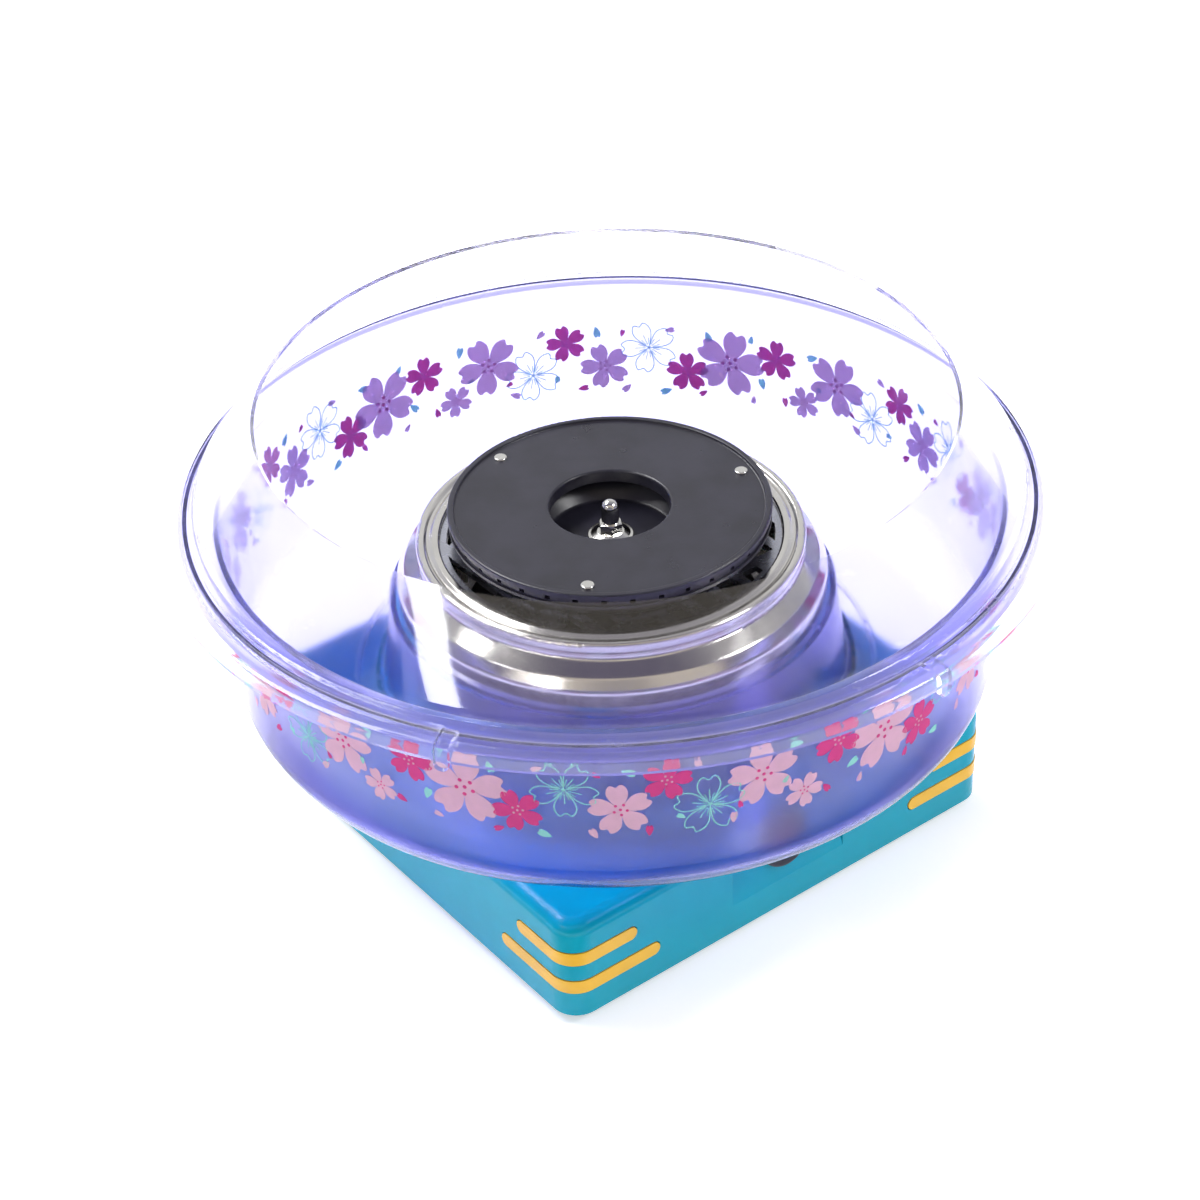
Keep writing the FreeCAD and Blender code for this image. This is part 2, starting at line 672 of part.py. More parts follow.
def corner_trim():
    """Both stripes of one corner on a thin carrier that lies against the wall's inside."""
    low = LOWER_STRIPE_AT - STRIPE_WIDTH / 2 - CARRIER_MARGIN
    high = UPPER_STRIPE_AT + STRIPE_WIDTH / 2 + CARRIER_MARGIN
    reach = LOWER_STRIPE_REACH + CARRIER_MARGIN
    z0, z1 = BASE_LOW + low, BASE_LOW + high
    behind = BASE_WALL + PART_GAP
    outer = rounded_square(BASE_SIDE - 2 * behind, BASE_CORNER_R - behind, z0, z1)
    deeper = behind + CARRIER_THICK
    inner = rounded_square(BASE_SIDE - 2 * deeper, BASE_CORNER_R - deeper, z0 - 1, z1 + 1)
    carrier = outer.cut(inner).common(block(HALF - reach, HALF, HALF - reach, HALF, z0, z1))
    rooted = behind + CARRIER_THICK / 4
    upper = corner_band(STRIPE_PROUD, rooted, STRIPE_WIDTH, UPPER_STRIPE_AT, UPPER_STRIPE_REACH)
    lower = corner_band(STRIPE_PROUD, rooted, STRIPE_WIDTH, LOWER_STRIPE_AT, LOWER_STRIPE_REACH)
    return fused([carrier, upper, lower])


def base_plate():
    side = BASE_SIDE - 2 * (BASE_WALL + PLATE_GAP)
    plate = rounded_square(side, BASE_CORNER_R - BASE_WALL - PLATE_GAP, BASE_LOW, PLATE_TOP)
    posts = [cylinder(FOOT_POST_R, PLATE_TOP - 1, PLATE_TOP + FOOT_POST_RISE, x, y)
             for x, y in corners_of_square(FOOT_AT)]
    posts += [cylinder(BOARD_POST_R, PLATE_TOP - 1, BOARD_LOW, x, BOARD_Y) for x in board_screw_xs()]
    plate = fused([plate] + posts)
    for x in board_screw_xs():
        plate = plate.cut(cylinder(BOARD_SCREW_R + PART_GAP, PLATE_TOP, BOARD_LOW + 1, x, BOARD_Y))
    rows = int(VENT_FIELD_R // VENT_PITCH)
    for row in range(-rows, rows + 1):
        y = row * VENT_PITCH
        reach = math.sqrt(VENT_FIELD_R ** 2 - y ** 2)
        half = VENT_SLOT / 2
        slot = block(-reach, reach, y - half, y + half, BASE_LOW - 1, PLATE_TOP + 1)
        for x in (-reach, reach):
            slot = slot.fuse(cylinder(half, BASE_LOW - 1, PLATE_TOP + 1, x, y))
        plate = plate.cut(slot)
    for x, y in corners_of_square(BOSS_AT):
        plate = plate.cut(cylinder(PLATE_SCREW_R + SCREW_GAP, BASE_LOW - 1, PLATE_TOP + 1, x, y))
        sink = Part.makeCone(PLATE_SCREW_HEAD_R + SCREW_GAP, PLATE_SCREW_R + SCREW_GAP,
                             PLATE_SCREW_HEAD_R - PLATE_SCREW_R)
        plate = plate.cut(moved(sink, x, y, BASE_LOW))
    for x, y in corners_of_square(FOOT_AT):
        plate = plate.cut(cylinder(FOOT_R + PLATE_GAP, BASE_LOW - 1, BASE_LOW + FOOT_SUNK, x, y))
        post_top = PLATE_TOP + FOOT_POST_RISE
        plate = plate.cut(cylinder(FOOT_SCREW_R + PART_GAP, BASE_LOW - 1, post_top - 1, x, y))
    return plate


def plate_screws():
    cone = PLATE_SCREW_HEAD_R - PLATE_SCREW_R
    face = PLATE_SCREW_SUNK
    screw = turned([
        (0, face, 0), (PLATE_SCREW_HEAD_R - face, face, 0), (PLATE_SCREW_R, cone, 0),
        (PLATE_SCREW_R, PLATE_SCREW_LENGTH, 0.5), (0, PLATE_SCREW_LENGTH, 0)])
    reach, half_slot = PLATE_SCREW_HEAD_R - 1, SCREW_SLOT / 2
    screw = screw.cut(block(-reach, reach, -half_slot, half_slot, -1, face + SCREW_SLOT))
    return [moved(screw, x, y, BASE_LOW) for x, y in corners_of_square(BOSS_AT)]


def foot():
    top = BASE_LOW + FOOT_SUNK
    return turned([
        (FOOT_SCREW_R + SCREW_GAP, FOOT_SCREW_SINK, 0), (FOOT_SCREW_HEAD_R + 0.3, FOOT_SCREW_SINK, 0),
        (FOOT_SCREW_HEAD_R + 0.3, 0, 0), (FOOT_R - FOOT_TAPER, 0, 0.8),
        (FOOT_R, BASE_LOW, 0), (FOOT_R, top, 0), (FOOT_SCREW_R + SCREW_GAP, top, 0)])


def foot_screws():
    length = PLATE_TOP + FOOT_POST_RISE - FOOT_SCREW_END_GAP - FOOT_SCREW_SINK
    screw = flipped(pan_screw(FOOT_SCREW_R, FOOT_SCREW_HEAD_R, FOOT_SCREW_HEAD, length))
    return [moved(screw, x, y, FOOT_SCREW_SINK) for x, y in corners_of_square(FOOT_AT)]


# ---------------------------------------------------------------- rectifier board

def board_screw_xs():
    return (-BOARD_POST_X, BOARD_POST_X)


def rectifier_board():
    """Small board with a bridge rectifier standing at its rear edge and one round capacitor."""
    half, top = BOARD_WIDTH / 2, BOARD_LOW + BOARD_THICK
    board = block(-BOARD_LENGTH / 2, BOARD_LENGTH / 2, BOARD_Y - half, BOARD_Y + half, BOARD_LOW, top)
    rear = BOARD_Y + half - BRIDGE_FROM_EDGE
    bridge = block(-BRIDGE_WIDTH / 2, BRIDGE_WIDTH / 2, rear - BRIDGE_THICK, rear,
                   top - SOLDERED_IN, top + BRIDGE_HEIGHT)
    bridge = bridge.makeChamfer(1.0, edges_at(bridge, lambda p: p.z > top + BRIDGE_HEIGHT - 1)[:1])
    capacitor = turned([
        (0, -SOLDERED_IN, 0), (CAPACITOR_R, -SOLDERED_IN, 0), (CAPACITOR_R, CAPACITOR_HEIGHT, 0.6),
        (0, CAPACITOR_HEIGHT, 0)])
    whole = fused([board, bridge, moved(capacitor, 0, BOARD_Y - CAPACITOR_FORWARD, top)])
    for x in board_screw_xs():
        whole = whole.cut(cylinder(BOARD_SCREW_R + SCREW_GAP, BOARD_LOW - 1, top + 1, x, BOARD_Y))
    return whole


def board_screws():
    length = BOARD_THICK + BOARD_POST_RISE - 1.5
    screw = pan_screw(BOARD_SCREW_R, BOARD_SCREW_HEAD_R, BOARD_SCREW_HEAD, length)
    return [moved(screw, x, BOARD_Y, BOARD_LOW + BOARD_THICK) for x in board_screw_xs()]


# ---------------------------------------------------------------- switch and gland

def switch_body():
    body = turned([
        (0, -BARREL_LENGTH, 0), (BARREL_R - PART_GAP, -BARREL_LENGTH, 0.8), (BARREL_R - PART_GAP, 0, 0),
        (BEZEL_R, 0, 0), (BEZEL_R, BEZEL_THICK, BEZEL_EDGE_R), (POCKET_R + POCKET_BEVEL, BEZEL_THICK, 0),
        (POCKET_R, BEZEL_THICK - POCKET_BEVEL, 0), (POCKET_R, -POCKET_DEPTH, 0), (0, -POCKET_DEPTH, 0)])
    step = -BASE_WALL - CATCH_GAP
    tail = step - CATCH_LENGTH
    catch = Part.Face(Part.makePolygon([
        V(BARREL_R - 1, 0, step), V(BARREL_R + CATCH_PROUD, 0, step), V(BARREL_R - 0.2, 0, tail),
        V(BARREL_R - 1, 0, tail), V(BARREL_R - 1, 0, step)])).extrude(V(0, CATCH_WIDTH, 0))
    catch.translate(V(0, -CATCH_WIDTH / 2, 0))
    body = fused([body] + around(catch, 2))
    hole_reach = TRUNNION_REACH + TRUNNION_END_GAP
    pin_hole = Part.makeCylinder(
        TRUNNION_R + RUNNING_GAP, 2 * hole_reach, V(-hole_reach, 0, -ROCKER_AXIS_DEPTH), V(1, 0, 0))
    return to_panel(body.cut(pin_hole))


def switch_rocker():
    """Round rocker: two wings rising from its waist, ends rounded about its own axis."""
    axis = -ROCKER_AXIS_DEPTH
    low = axis - ROCKER_SKIRT
    plan = cylinder(ROCKER_R, low, axis + ROCKER_SWING_R)
    swing = Part.makeCylinder(ROCKER_SWING_R, 2 * ROCKER_R, V(-ROCKER_R, 0, axis), V(1, 0, 0))
    crest = axis + ROCKER_CREST
    rise = ROCKER_R * math.tan(math.radians(ROCKER_WING))
    profile = [
        V(0, -ROCKER_R - 1, low), V(0, -ROCKER_R - 1, crest + rise), V(0, 0, crest),
        V(0, ROCKER_R + 1, crest + rise), V(0, ROCKER_R + 1, low), V(0, -ROCKER_R - 1, low)]
    wings = Part.Face(Part.makePolygon(profile)).extrude(V(2 * ROCKER_R + 2, 0, 0))
    wings.translate(V(-ROCKER_R - 1, 0, 0))
    rocker = plan.common(swing).common(wings)
    pin = Part.makeCylinder(TRUNNION_R, 2 * TRUNNION_REACH, V(-TRUNNION_REACH, 0, axis), V(1, 0, 0))
    rocker = fused([rocker, pin])
    rocker.rotate(V(0, 0, axis), V(1, 0, 0), ROCKER_WING)
    return to_panel(rocker)


def switch_terminals():
    blades = []
    for step in (-1, 0, 1):
        blade = block(-BLADE_WIDTH / 2, BLADE_WIDTH / 2, -BLADE_THICK / 2, BLADE_THICK / 2,
                      -BARREL_LENGTH - BLADE_LENGTH, -BARREL_LENGTH)
        eye_at = V(0, -1, -BARREL_LENGTH - BLADE_LENGTH + BLADE_EYE_AT)
        eye = Part.makeCylinder(BLADE_EYE_R, 2, eye_at, V(0, 1, 0))
        blades.append(to_panel(moved(blade.cut(eye), 0, step * BLADE_PITCH, 0)))
    return blades


def cord_gland():
    gland = turned([
        (GLAND_BORE_R, -BASE_WALL - GLAND_INSIDE, 0), (GLAND_BARREL_R, -BASE_WALL - GLAND_INSIDE, 0.5),
        (GLAND_BARREL_R, 0, 0), (GLAND_HEAD_R, 0, 0), (GLAND_HEAD_R, GLAND_HEAD, 0.8),
        (GLAND_BORE_R + GLAND_BOOT_ROOT, GLAND_HEAD, 0.8),
        (GLAND_BORE_R + GLAND_BOOT_TIP, GLAND_HEAD + GLAND_BOOT, 0.4),
        (GLAND_BORE_R, GLAND_HEAD + GLAND_BOOT, 0)])
    return to_rear(gland)


def gland_nut():
    nut = hexagon(GLAND_NUT_AF, -BASE_WALL - GLAND_NUT_THICK, -BASE_WALL)
    return to_rear(nut.cut(cylinder(GLAND_BARREL_R + PART_GAP, -BASE_WALL - 9, 0)))


# ---------------------------------------------------------------- motor and fan

def motor_screw_places():
    return [polar(DAMPER_ON_R, 30 + 120 * i) for i in range(3)]


def motor_bracket():
    plate = ring(BRACKET_R, BRACKET_BORE_R, BRACKET_LOW, BRACKET_TOP)
    window = ring(WINDOW_OUT_R, WINDOW_IN_R, BRACKET_LOW - 1, BRACKET_TOP + 1)
    for i in range(SPOKES):
        spoke = block(0, BRACKET_R, -SPOKE_WIDTH / 2, SPOKE_WIDTH / 2, BRACKET_LOW - 2, BRACKET_TOP + 2)
        window = window.cut(spun(spoke, 360.0 / SPOKES * i))
    plate = plate.cut(window)
    for x, y in motor_screw_places():
        plate = plate.cut(cylinder(MOTOR_SCREW_R + SCREW_GAP, BRACKET_LOW - 1, BRACKET_TOP + 1, x, y))
    for x, y in hub_screw_places():
        plate = plate.cut(cylinder(HUB_SCREW_R + SCREW_GAP, BRACKET_LOW - 1, BRACKET_TOP + 1, x, y))
    return plate


def motor_can():
    can = turned([
        (BUSH_R + PART_GAP, MOTOR_TOP + MOTOR_NECK, 0), (MOTOR_NECK_R, MOTOR_TOP + MOTOR_NECK, 0.6),
        (MOTOR_NECK_R, MOTOR_TOP, 0), (MOTOR_R, MOTOR_TOP, 2.5),
        (MOTOR_R, MOTOR_LOW + END_CAP_THICK, 0), (MOTOR_R - MOTOR_WALL, MOTOR_LOW + END_CAP_THICK, 0),
        (MOTOR_R - MOTOR_WALL, MOTOR_TOP - MOTOR_WALL, 1.0), (BUSH_R + PART_GAP, MOTOR_TOP - MOTOR_WALL, 0)])
    for x, y in motor_screw_places():
        can = can.cut(cylinder(MOTOR_SCREW_R + PART_GAP, MOTOR_TOP - 5, MOTOR_TOP + 1, x, y))
    return can


def motor_magnets():
    outer = MOTOR_R - MOTOR_WALL - GLUE_GAP
    low = (ARMATURE_LOW + ARMATURE_TOP - MAGNET_LENGTH) / 2
    pair = []
    for start in (90 - MAGNET_SPAN / 2, 270 - MAGNET_SPAN / 2):
        arc = Part.makeCylinder(outer, MAGNET_LENGTH, V(0, 0, low), V(0, 0, 1), MAGNET_SPAN)
        arc = arc.cut(cylinder(MAGNET_IN_R, low - 1, low + MAGNET_LENGTH + 1))
        pair.append(spun(arc, start))
    return pair


def motor_end_cap():
    """Moulded cap: spigot in the can, collar for the lower bush, two brush holders."""
    edge = MOTOR_R - MOTOR_WALL - PART_GAP
    top = MOTOR_LOW + END_CAP_THICK
    bush_top = MOTOR_LOW + LOWER_BUSH_LENGTH
    cap = turned([
        (BUSH_R + PART_GAP, MOTOR_LOW, 0), (MOTOR_R, MOTOR_LOW, 1.0), (MOTOR_R, top, 0), (edge, top, 0),
        (edge, top + SPIGOT, 0), (edge - SPIGOT, top + SPIGOT, 0), (edge - SPIGOT, top, 0),
        (BUSH_R + BUSH_COLLAR, top, 0), (BUSH_R + BUSH_COLLAR, bush_top - BUSH_PROUD, 0),
        (BUSH_R + PART_GAP, bush_top - BUSH_PROUD, 0)])
    half = BRUSH_WIDTH / 2 + HOLDER_WALL
    holder = block(BUSH_R + 2, BRUSH_REACH_R + HOLDER_WALL, -half, half, top - 1, HOLDER_TOP)
    cap = fused([cap] + around(holder, 2, 90))
    for tool in motor_tab_blocks(PART_GAP) + brush_blocks(PART_GAP):
        cap = cap.cut(tool)
    return cap


def brush_blocks(grow=0.0):
    half = BRUSH_WIDTH / 2 + grow
    brush = block(0, BRUSH_REACH_R + grow, -half, half, BRUSH_LOW - grow, BRUSH_LOW + BRUSH_HEIGHT + grow)
    hollow = cylinder(COMMUTATOR_R + BRUSH_GAP, BRUSH_LOW - 1, BRUSH_LOW + BRUSH_HEIGHT + 1)
    return around(brush.cut(hollow), 2, 90)


def motor_tab_blocks(grow=0.0):
    half = BLADE_WIDTH / 2 + grow
    mid = MOTOR_LOW + END_CAP_THICK / 2
    thick = BLADE_THICK / 2 + grow
    tab = block(MOTOR_R - MOTOR_TAB_SUNK - grow, MOTOR_R + MOTOR_TAB_REACH, -half, half,
                mid - thick, mid + thick)
    return around(tab, 2)


def bush(low, length):
    return ring(BUSH_R, SHAFT_R + RUNNING_GAP, low, low + length)


def motor_dampers():
    solid = []
    for x, y in motor_screw_places():
        solid.append(ring(DAMPER_R, MOTOR_SCREW_R + SCREW_GAP, MOTOR_TOP, BRACKET_LOW, x, y))
    return solid


def motor_screws():
    length = BRACKET_TOP - MOTOR_TOP + MOTOR_SCREW_BITE
    screw = pan_screw(MOTOR_SCREW_R, MOTOR_SCREW_HEAD_R, MOTOR_SCREW_HEAD, length)
    return [moved(screw, x, y, BRACKET_TOP) for x, y in motor_screw_places()]


def motor_shaft():
    """Long shaft: seat in the lower bush, seat for fan and collar, threaded top end."""
    low = MOTOR_LOW + SHAFT_END_GAP
    thread_end = WASHER_TOP + NUT_HEX + THREAD_PAST_HEX
    shaft = turned([
        (0, low, 0), (SHAFT_R, low, 0.6), (SHAFT_R, WELL_UNDER, 0),
        (THREAD_R, WELL_UNDER, 0), (THREAD_R, thread_end, 0.6), (0, thread_end, 0)])
    hole = Part.makeCylinder(
        DRIVE_PIN_R + PART_GAP, 4 * SHAFT_R, V(-2 * SHAFT_R, 0, COLLAR_LOW + COLLAR_LENGTH / 2), V(1, 0, 0))
    return shaft.cut(hole)


def armature():
    """Laminated core with five poles, and a coil lump between the poles."""
    low, high = ARMATURE_LOW, ARMATURE_TOP
    core = ring(CORE_R, SHAFT_R + PART_GAP, low, high)
    slot = block(COIL_IN_R, CORE_R + 1, -SLOT_MOUTH / 2, SLOT_MOUTH / 2, low - 1, high + 1)
    pocket = block(COIL_IN_R, COIL_OUT_R, -COIL_WIDTH / 2, COIL_WIDTH / 2, low - 1, high + 1)
    for tool in around(slot.fuse(pocket), ARMATURE_POLES):
        core = core.cut(tool)
    return core


def armature_coils():
    half = COIL_WIDTH / 2 - COIL_GAP
    coil = block(COIL_IN_R + COIL_GAP, COIL_OUT_R - COIL_GAP, -half, half,
                 ARMATURE_LOW - COIL_PROUD, ARMATURE_TOP + COIL_PROUD)
    coil = coil.makeFillet(0.8, [e for e in coil.Edges if abs(e.Vertexes[0].Z - e.Vertexes[1].Z) > 1])
    return around(coil, ARMATURE_POLES)


def commutator():
    return ring(COMMUTATOR_R, SHAFT_R + PART_GAP, COMMUTATOR_LOW, COMMUTATOR_LOW + COMMUTATOR_LENGTH)


def cooling_fan():
    """Centrifugal fan: hub, top disc and backward-curved blades hanging under the disc."""
    disc_low = FAN_TOP - FAN_DISC
    hub = turned([
        (SHAFT_R + PART_GAP, FAN_LOW, 0), (FAN_HUB_R, FAN_LOW, 1.0), (FAN_HUB_R, disc_low, 3.0),
        (FAN_R, disc_low, 0), (FAN_R, FAN_TOP, 0.5), (SHAFT_R + PART_GAP, FAN_TOP, 0)])
    curve = ring(FAN_BLADE_BEND_R + FAN_BLADE_THICK, FAN_BLADE_BEND_R, FAN_LOW, disc_low + FAN_DISC / 2,
                 FAN_BLADE_BEND_AT)
    reach = turned([
        (FAN_BLADE_IN_R, FAN_LOW, 0), (FAN_BLADE_OUT_R, FAN_LOW + FAN_BLADE_TAPER, 0),
        (FAN_BLADE_OUT_R, FAN_TOP, 0), (FAN_BLADE_IN_R, FAN_TOP, 0)])
    one_side = block(-2 * FAN_R, 2 * FAN_R, 0, 2 * FAN_R, FAN_LOW - 1, FAN_TOP + 1)
    blade = curve.common(reach).common(one_side)
    return fused([hub] + around(blade, FAN_BLADES))


# ---------------------------------------------------------------- hub, guard, heater

def hub_ring():
    """Spun sheet: inner ledge for the guard, double-crested lip, groove, shoulder, turned-in foot."""
    lip = HEAD_TOP - LIP_DROP
    seat_r = GUARD_R + SCREW_GAP
    inner_lip = lip - CREST_IN_LOWER
    path = [
        (GUARD_R - LEDGE_WIDTH, GUARD_LOW, 0), (seat_r, GUARD_LOW, 0), (seat_r, inner_lip, 0.8),
        (HUB_R - CREST_IN_INSET, inner_lip, 1.2), (HUB_R - VALLEY_INSET, lip - VALLEY_DEPTH, 1.0),
        (HUB_R - CREST_OUT_INSET, lip, 1.4), (LIP_R, lip, 1.5), (LIP_R, lip - LIP_DEPTH, 1.3),
        (HUB_R - GROOVE_INSET, HEAD_TOP - GROOVE_DROP, 1.8),
        (HUB_R - SHOULDER_INSET, HEAD_TOP - SHOULDER_DROP, 2.5), (HUB_R, HEAD_TOP - WALL_DROP, 3.0),
        (HUB_R, PLINTH, 1.6), (HUB_R - HUB_FOOT_WIDTH, PLINTH, 0)]
    shell = turned(sheet_section(path, SHEET))
    for x, y in hub_screw_places():
        shell = shell.cut(cylinder(HUB_SCREW_R + SCREW_GAP, PLINTH - 1, PLINTH + 2 * SHEET, x, y))
    return shell


def hub_screws():
    length = PLINTH + SHEET - BRACKET_LOW + HUB_NUT_THICK + HUB_SCREW_PAST_NUT
    screw = pan_screw(HUB_SCREW_R, HUB_SCREW_HEAD_R, HUB_SCREW_HEAD, length)
    return [moved(screw, x, y, PLINTH + SHEET) for x, y in hub_screw_places()]


def hub_nuts():
    nuts = []
    for x, y in hub_screw_places():
        nut = hexagon(HUB_NUT_AF, BRACKET_LOW - HUB_NUT_THICK, BRACKET_LOW, x, y)
        nuts.append(nut.cut(cylinder(HUB_SCREW_R + PART_GAP, BRACKET_LOW - 9, BRACKET_LOW + 1, x, y)))
    return nuts


def guard_grille():
    """Flat ring of straight bars and cross bars, with solid pads over the clamps and bushes."""
    disc = ring(GUARD_R, GUARD_IN_R, GUARD_LOW, GUARD_TOP)
    field = ring(GUARD_R - GUARD_RIM, GUARD_IN_R + GUARD_INNER_RIM, GUARD_LOW - 1, GUARD_TOP + 1)
    pads = [cylinder(CLAMP_PAD_R, GUARD_LOW - 2, GUARD_TOP + 2, *polar(CLAMP_ON_R, a)) for a in CLAMP_ANGLES]
    pads += [cylinder(CERAMIC_FLANGE_R + PAD_MARGIN, GUARD_LOW - 2, GUARD_TOP + 2, *polar(HEATER_R, a))
             for a in CERAMIC_ANGLES]
    pads.append(cylinder(CUTOUT_R + PAD_MARGIN, GUARD_LOW - 2, GUARD_TOP + 2,
                         *polar(CUTOUT_ON_R, CUTOUT_ANGLE)))
    for pad in pads:
        field = field.cut(pad)
    half_count = int(GUARD_R // BAR_PITCH) + 1
    crossings = [CROSS_BAR_SHIFT + CROSS_BAR_PITCH * i for i in (-2, -1, 0, 1, 2)]
    cells = []
    for i in range(-half_count, half_count + 1):
        x0 = (i - 0.5) * BAR_PITCH + BAR_WIDTH / 2
        x1 = (i + 0.5) * BAR_PITCH - BAR_WIDTH / 2
        for low, high in zip(crossings, crossings[1:]):
            cell = block(x0, x1, low + BAR_WIDTH / 2, high - BAR_WIDTH / 2, GUARD_LOW - 1, GUARD_TOP + 1)
            for piece in cell.common(field).Solids:
                if piece.Volume > SMALLEST_CELL * (GUARD_THICK + 2):
                    cells.append(piece)
    for cell in cells:
        disc = disc.cut(cell)
    bosses = [cylinder(CLAMP_BOSS_R, LEDGE_LOW, GUARD_LOW + 1, *polar(CLAMP_ON_R, a)) for a in CLAMP_ANGLES]
    disc = fused([disc] + bosses)
    pilot_top = GUARD_TOP - CLAMP_SCREW_COVER
    for angle in CLAMP_ANGLES:
        x, y = polar(CLAMP_ON_R, angle)
        disc = disc.cut(cylinder(CLAMP_SCREW_R + PART_GAP, LEDGE_LOW - 1, pilot_top, x, y))
    for angle in CERAMIC_ANGLES:
        x, y = polar(HEATER_R, angle)
        disc = disc.cut(cylinder(CERAMIC_R + PART_GAP, GUARD_LOW - 1, GUARD_TOP + 1, x, y))
    return disc


def guard_clamps():
    clamps = []
    reach_in = CLAMP_ON_R - CLAMP_WIDTH / 2
    for angle in CLAMP_ANGLES:
        strap = block(reach_in, GUARD_R - CLAMP_SHORT, -CLAMP_WIDTH / 2, CLAMP_WIDTH / 2,
                      LEDGE_LOW - CLAMP_THICK, LEDGE_LOW)
        strap = strap.cut(cylinder(CLAMP_SCREW_R + SCREW_GAP, LEDGE_LOW - 9, LEDGE_LOW + 1, CLAMP_ON_R))
        clamps.append(spun(strap, angle))
    return clamps


def clamp_screws():
    length = GUARD_TOP - CLAMP_SCREW_COVER - CLAMP_SCREW_END_GAP - LEDGE_LOW + CLAMP_THICK
    screw = flipped(pan_screw(CLAMP_SCREW_R, CLAMP_SCREW_HEAD_R, CLAMP_SCREW_HEAD, length))
    return [moved(screw, *polar(CLAMP_ON_R, a), LEDGE_LOW - CLAMP_THICK) for a in CLAMP_ANGLES]


def heat_reflector():
    """Shallow channel of bright sheet under the heater."""
    floor, wall = REFLECTOR_TOP, REFLECTOR_TOP + REFLECTOR_WALL
    inner, outer = HEATER_R - REFLECTOR_HALF, HEATER_R + REFLECTOR_HALF
    path = [
        (inner, wall, 0), (inner + REFLECTOR_DRAFT, floor, 0.5),
        (outer - REFLECTOR_DRAFT, floor, 0.5), (outer, wall, 0)]
    channel = turned(sheet_section(path, REFLECTOR_SHEET))
    for angle in CERAMIC_ANGLES:
        x, y = polar(HEATER_R, angle)
        channel = channel.cut(cylinder(CERAMIC_R + PART_GAP, GUARD_TOP - 1, floor + 1, x, y))
    return channel


def heater_cradles():
    half = CRADLE_WIDTH / 2
    cradle = block(HEATER_R - half, HEATER_R + half, -half, half, REFLECTOR_TOP, HEATER_MID)
    groove = Part.makeTorus(HEATER_R, HEATER_TUBE_R + PART_GAP, V(0, 0, HEATER_MID))
    return around(cradle.cut(groove), CRADLES, 15)


def heater_ring():
    tube = Part.makeTorus(HEATER_R, HEATER_TUBE_R, V(0, 0, HEATER_MID))
    pins = [cylinder(TERMINAL_R, HEATER_MID - TERMINAL_LENGTH, HEATER_MID, *polar(HEATER_R, a))
            for a in CERAMIC_ANGLES]
    return fused([tube] + pins)


def ceramic_bushes():
    """Insulating bushes that carry the heater's ends down through reflector and guard."""
    bore = TERMINAL_R + SCREW_GAP
    low, high = GUARD_TOP - CERAMIC_LENGTH, REFLECTOR_TOP + CERAMIC_PROUD
    bush_shape = turned([
        (bore, low, 0), (CERAMIC_R, low, 0.5), (CERAMIC_R, GUARD_LOW - CERAMIC_FLANGE, 0),
        (CERAMIC_FLANGE_R, GUARD_LOW - CERAMIC_FLANGE, 0), (CERAMIC_FLANGE_R, GUARD_LOW, 0),
        (CERAMIC_R, GUARD_LOW, 0), (CERAMIC_R, high, 0), (bore, high, 0)])
    return [moved(bush_shape, *polar(HEATER_R, angle), 0) for angle in CERAMIC_ANGLES]


def thermal_cutout():
    """Round snap thermostat against the guard's underside, with its two tabs."""
    low, cap_low, body_r = GUARD_LOW - CUTOUT_DEPTH, GUARD_LOW - CUTOUT_CAP, CUTOUT_R - CUTOUT_BODY_INSET
    body = turned([
        (0, low, 0), (body_r, low, 0.5), (body_r, cap_low, 0), (CUTOUT_R, cap_low, 0),
        (CUTOUT_R, GUARD_LOW, 0.4), (0, GUARD_LOW, 0)])
    half_thick, half_width = BLADE_THICK / 2, CUTOUT_TAB_WIDTH / 2
    tabs = [block(side * CUTOUT_TAB_AT - half_thick, side * CUTOUT_TAB_AT + half_thick,
                  -half_width, half_width, low - CUTOUT_TAB_LENGTH, low + 1) for side in (-1, 1)]
    return moved(fused([body] + tabs), *polar(CUTOUT_ON_R, CUTOUT_ANGLE), 0)


# ---------------------------------------------------------------- spinning head

def head_lid():
    """Black lid: raised outer rim, sunken annular top, lip turned down round the sugar hole."""
    lip_low = LID_TOP - WELL_LIP_DROP
    lid = turned([
        (SUGAR_HOLE_R, lip_low, 0.3), (SUGAR_HOLE_R, LID_TOP, 1.0), (HEAD_R - LID_RIM, LID_TOP, 0.4),
        (HEAD_R - LID_RIM + 0.2, HEAD_TOP, 0.5), (HEAD_R, HEAD_TOP, 0.7), (HEAD_R, LID_LOW, 0),
        (SUGAR_HOLE_R + LID_THICK, LID_LOW, 0.5), (SUGAR_HOLE_R + LID_THICK, lip_low, 0.3)])
    for x, y in rivet_places():
        lid = lid.cut(cylinder(RIVET_R + PART_GAP, LID_LOW - 1, LID_TOP + 1, x, y))
    return lid


def rivet_places():
    return [polar(RIVET_ON_R, RIVET_TURN + 360.0 / RIVETS * i) for i in range(RIVETS)]


def slot_band():
    """Ring between lid and pan whose slots let the melted sugar out."""
    outer = HEAD_R - BAND_INSET
    band = ring(outer, outer - BAND_THICK, PAN_TOP, LID_LOW)
    mid = (PAN_TOP + LID_LOW) / 2
    slot = block(outer - BAND_THICK - 1, outer + 1, -BAND_SLOT_WIDTH / 2, BAND_SLOT_WIDTH / 2,
                 mid - BAND_SLOT_HEIGHT / 2, mid + BAND_SLOT_HEIGHT / 2)
    return band.cut(Part.makeCompound(around(slot, BAND_SLOTS)))


